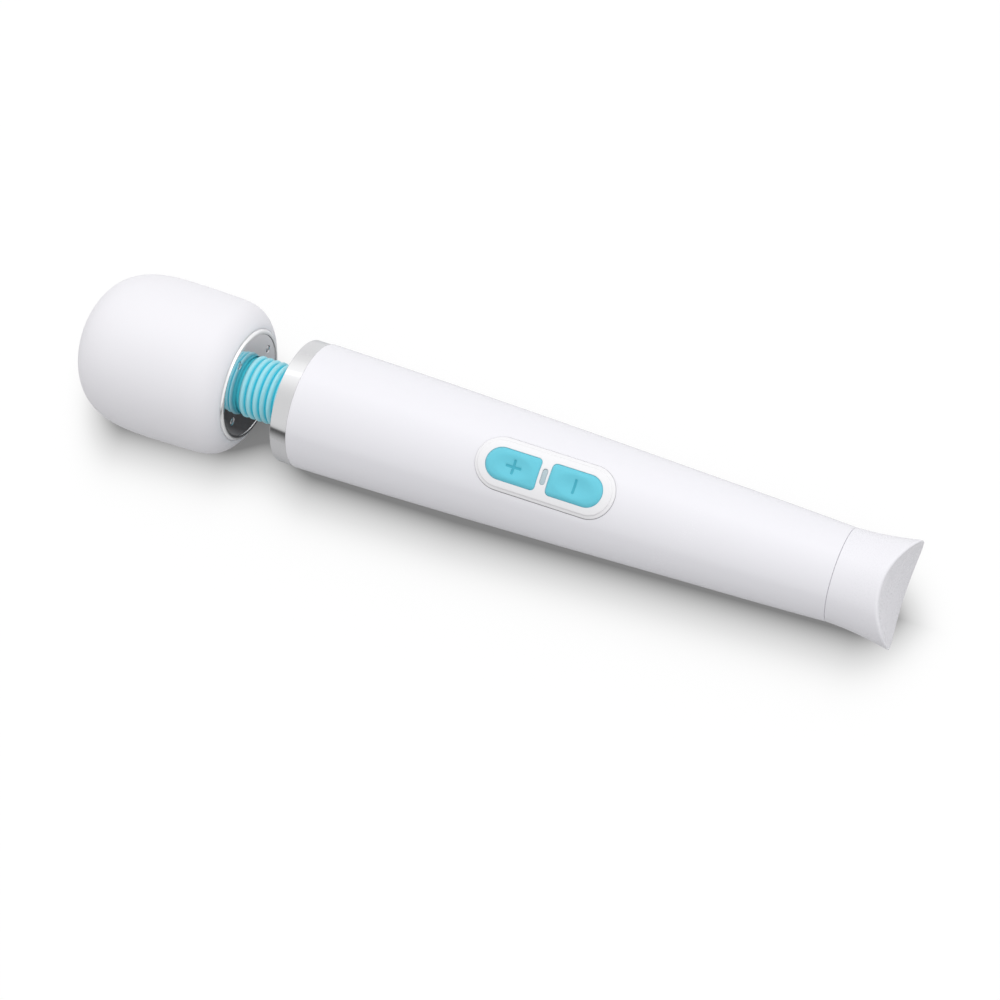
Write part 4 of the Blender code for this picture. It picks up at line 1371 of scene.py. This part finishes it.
def floor_material():
    material, tree, shader = node_material("floor_white")
    calc = partial(calculate, tree)
    mix = partial(mix_colors, tree)

    def above_zero(value):
        return calc("MAXIMUM", value, 0.0)

    def length(first, second):
        squares = [calc("MULTIPLY", value, value) for value in (first, second)]
        return calc("SQRT", calc("ADD", *squares))

    place = add(tree, "NewGeometry").outputs["Position"]
    parts = add(tree, "SeparateXYZ", Vector=place).outputs
    x = calc("MULTIPLY", parts[0], 1000.0)
    y = calc("MULTIPLY", parts[1], 1000.0)

    # distance across: plain on the shaded side, steeper on the lit side
    lit = above_zero(calc("ADD", y, LIT_SHIFT))
    shaded = calc("MAXIMUM", calc("MULTIPLY", y, -1.0), LIT_SHIFT)
    across = calc("ADD", calc("MULTIPLY", lit, LIT_STEEP), shaded)
    narrow = calc("MULTIPLY_ADD", x, TAIL_NARROW["slope"], TAIL_NARROW["offset"])
    across = calc("ADD", across, calc("MAXIMUM", narrow, TAIL_NARROW["least"]))
    widen = calc("MULTIPLY_ADD", x, HEAD_WIDEN["slope"], HEAD_WIDEN["offset"])
    across = calc("SUBTRACT", across, above_zero(widen))
    # distance past either end
    past_tail = calc("MULTIPLY", calc("SUBTRACT", x, TAIL_PAST), TAIL_STEEP)
    past_head = calc("SUBTRACT", HEAD_PAST, x)
    past = above_zero(calc("MAXIMUM", past_tail, past_head))
    past = calc("MULTIPLY", past, PAST_STEEP)
    bounce_far = length(across, past)

    # the painted shadow is lighter under the thin neck, where light comes through
    headward = above_zero(calc("SUBTRACT", WIDEN_FROM, x))
    across = calc("SUBTRACT", across, calc("MULTIPLY", headward, WIDEN_SLOPE))
    off_neck = calc("ABSOLUTE", calc("ADD", x, NECK_BACK))
    gap = calc("SUBTRACT", 1.0, calc("DIVIDE", off_neck, NECK_HALF), clamp=True)
    gap = calc("MULTIPLY", calc("MULTIPLY", gap, gap), calc("MULTIPLY_ADD", gap, -2.0, 3.0))
    inward = above_zero(calc("ADD", y, NECK_INWARD["start"]))
    inward = calc("MULTIPLY", inward, NECK_INWARD["slope"])
    inward = calc("MINIMUM", inward, NECK_INWARD["most"])
    through = calc("MULTIPLY", gap, calc("ADD", inward, NECK_LIFT))
    far = length(calc("ADD", across, through), past)

    fade = above_zero(calc("SUBTRACT", far, FADE["start"]))
    fade = calc("POWER", calc("DIVIDE", fade, FADE["length"]), FADE["power"])
    outer = above_zero(calc("SUBTRACT", far, OUTER_FADE["start"]))
    outer = calc("MULTIPLY", calc("POWER", outer, OUTER_FADE["power"]), OUTER_FADE["scale"])
    fade = calc("MULTIPLY", calc("ADD", fade, outer), -1.0)
    dark = calc("MULTIPLY", calc("EXPONENT", fade), SHADE_DEPTH)
    core = calc("SUBTRACT", 1.0, calc("DIVIDE", far, CORE_REACH), clamp=True)
    core_dark = calc("MULTIPLY", core, CORE_SHADE)
    shade = calc("SUBTRACT", calc("SUBTRACT", 1.0, dark), core_dark, clamp=True)

    rays = add(tree, "LightPath").outputs
    lit_part = calc("MULTIPLY_ADD", y, LIT_SLOPE, LIT_OFFSET, clamp=True)
    away_part = calc("MULTIPLY_ADD", bounce_far, BOUNCE_SHADOW_SLOPE, BOUNCE_SHADOW_OFFSET, clamp=True)
    # painted shadow under the wand and painted light on the key light's side, in the floor's
    # colour for bounced light
    painted_bounce = mix(away_part, BOUNCE_PAINTED_SHADOW, mix(lit_part, BOUNCE_GREY, BOUNCE_PAINTED_LIGHT))
    bounced = mix(rays["Is Diffuse Ray"], painted_bounce, DIFFUSE_DIM, blend="MULTIPLY")
    seen = mix(core, SEEN_AWAY, SEEN_UNDER)
    # painted light: seen directly the floor glows, dimmed by the painted contact shadow
    glow = calc("MULTIPLY", shade, rays["Is Camera Ray"])
    set_inputs(
        shader,
        Roughness=0.6,
        Specular_IOR_Level=0.1,
        Base_Color=mix(rays["Is Camera Ray"], bounced, seen),
        Emission_Color=(1, 1, 1, 1),
        Emission_Strength=calc("MULTIPLY", glow, GLOW),
    )
    return material


floor_edit = bmesh.new()
bmesh.ops.create_grid(floor_edit, x_segments=1, y_segments=1, size=6.0)
floor = object_from("floor", floor_edit)
floor.location = (0, 0, cad_low[2] - FLOOR_DROP)
floor.data.materials.append(floor_material())

# ------------------------------------------------------------------ studio sky
SKY_POWER = 1.175
TAIL_EXTRA = 0.14  # a little more light comes from the tail's side
# (degrees from straight up towards +Y, brightness)
SKY = [
    (-180, 0.35), (-90, 0.50), (-86, 0.465), (-82, 0.38), (-78, 0.27), (-74, 0.16),
    (-70, 0.09), (-67.5, 0.10), (-65, 0.55), (-61, 0.71), (-52, 0.755), (-10, 0.755),
    (2, 0.78), (10, 0.83), (18, 0.91), (26, 1.0), (34, 1.08), (38, 1.14), (40, 1.38),
    (46, 1.38), (48, 1.14), (56, 1.1), (66, 1.02), (74, 0.92), (90, 0.85), (106, 0.78),
    (180, 0.35),
]


def build_world():
    world = bpy.data.worlds.new("studio")
    bpy.context.scene.world = world
    world.use_nodes = True
    tree = world.node_tree
    place = add(tree, "TexCoord").outputs["Generated"]
    parts = add(tree, "SeparateXYZ", Vector=place).outputs
    angle = calculate(tree, "ARCTAN2", parts["Y"], parts["Z"])
    turn = add(tree, "MapRange", From_Min=-math.pi, From_Max=math.pi, Value=angle)
    ramp = add(tree, "ValToRGB", Fac=turn.outputs["Result"])
    stops = ramp.color_ramp.elements
    while len(stops) > 1:
        stops.remove(stops[-1])
    for k, (degrees, value) in enumerate(SKY):
        position = (degrees + 180) / 360
        stop = stops[0] if k == 0 else stops.new(position)
        stop.position = position
        stop.color = (value, value, value, 1)
    # the backdrop itself is plain white
    camera_ray = add(tree, "LightPath").outputs["Is Camera Ray"]
    white = (1.0 / SKY_POWER,) * 3
    tailward = calculate(tree, "MAXIMUM", parts["X"], 0.0)
    set_inputs(
        tree.nodes["Background"],
        Color=mix_colors(tree, camera_ray, ramp.outputs["Color"], white),
        Strength=calculate(
            tree, "MULTIPLY_ADD", tailward, TAIL_EXTRA * SKY_POWER, SKY_POWER
        ),
    )


build_world()

# ------------------------------------------------------------------ key light
LIGHT_PLACE, LIGHT_AIM = Vector((-0.2, 0.707, 0.707)), Vector((-0.2, 0.0, 0.0))
softbox = bpy.data.lights.new("key_softbox", "AREA")
softbox.shape = "RECTANGLE"
softbox.size, softbox.size_y = 1.0, 0.47
softbox.energy = 0.1
key_light = link_object("key_softbox", softbox)
key_light.location = LIGHT_PLACE
key_light.rotation_euler = (LIGHT_AIM - LIGHT_PLACE).to_track_quat("-Z", "Y").to_euler()
key_light.visible_glossy = False  # the studio gradient gives the soft highlight

# ------------------------------------------------------------------ camera
CAMERA_AIM = Vector((0.01332, -0.01252, 0.0))
CAMERA_ROLL = math.radians(18.34)
lens = bpy.data.cameras.new("camera")
camera = link_object("camera", lens)
lens.sensor_width = 36.0
lens.lens = 101.97
lens.clip_start, lens.clip_end = 0.05, 20.0
camera.location = (0.3337, -0.0337, 1.0172)
forward = (CAMERA_AIM - camera.location).normalized()
right = forward.cross(Vector((0, 1, 0))).normalized()
up = right.cross(forward)
rolled_up = up * math.cos(CAMERA_ROLL) - right * math.sin(CAMERA_ROLL)
axes = Matrix((forward.cross(rolled_up), rolled_up, -forward))
camera.rotation_euler = axes.transposed().to_euler()
bpy.context.scene.camera = camera
bpy.context.scene.view_settings.view_transform = "Standard"
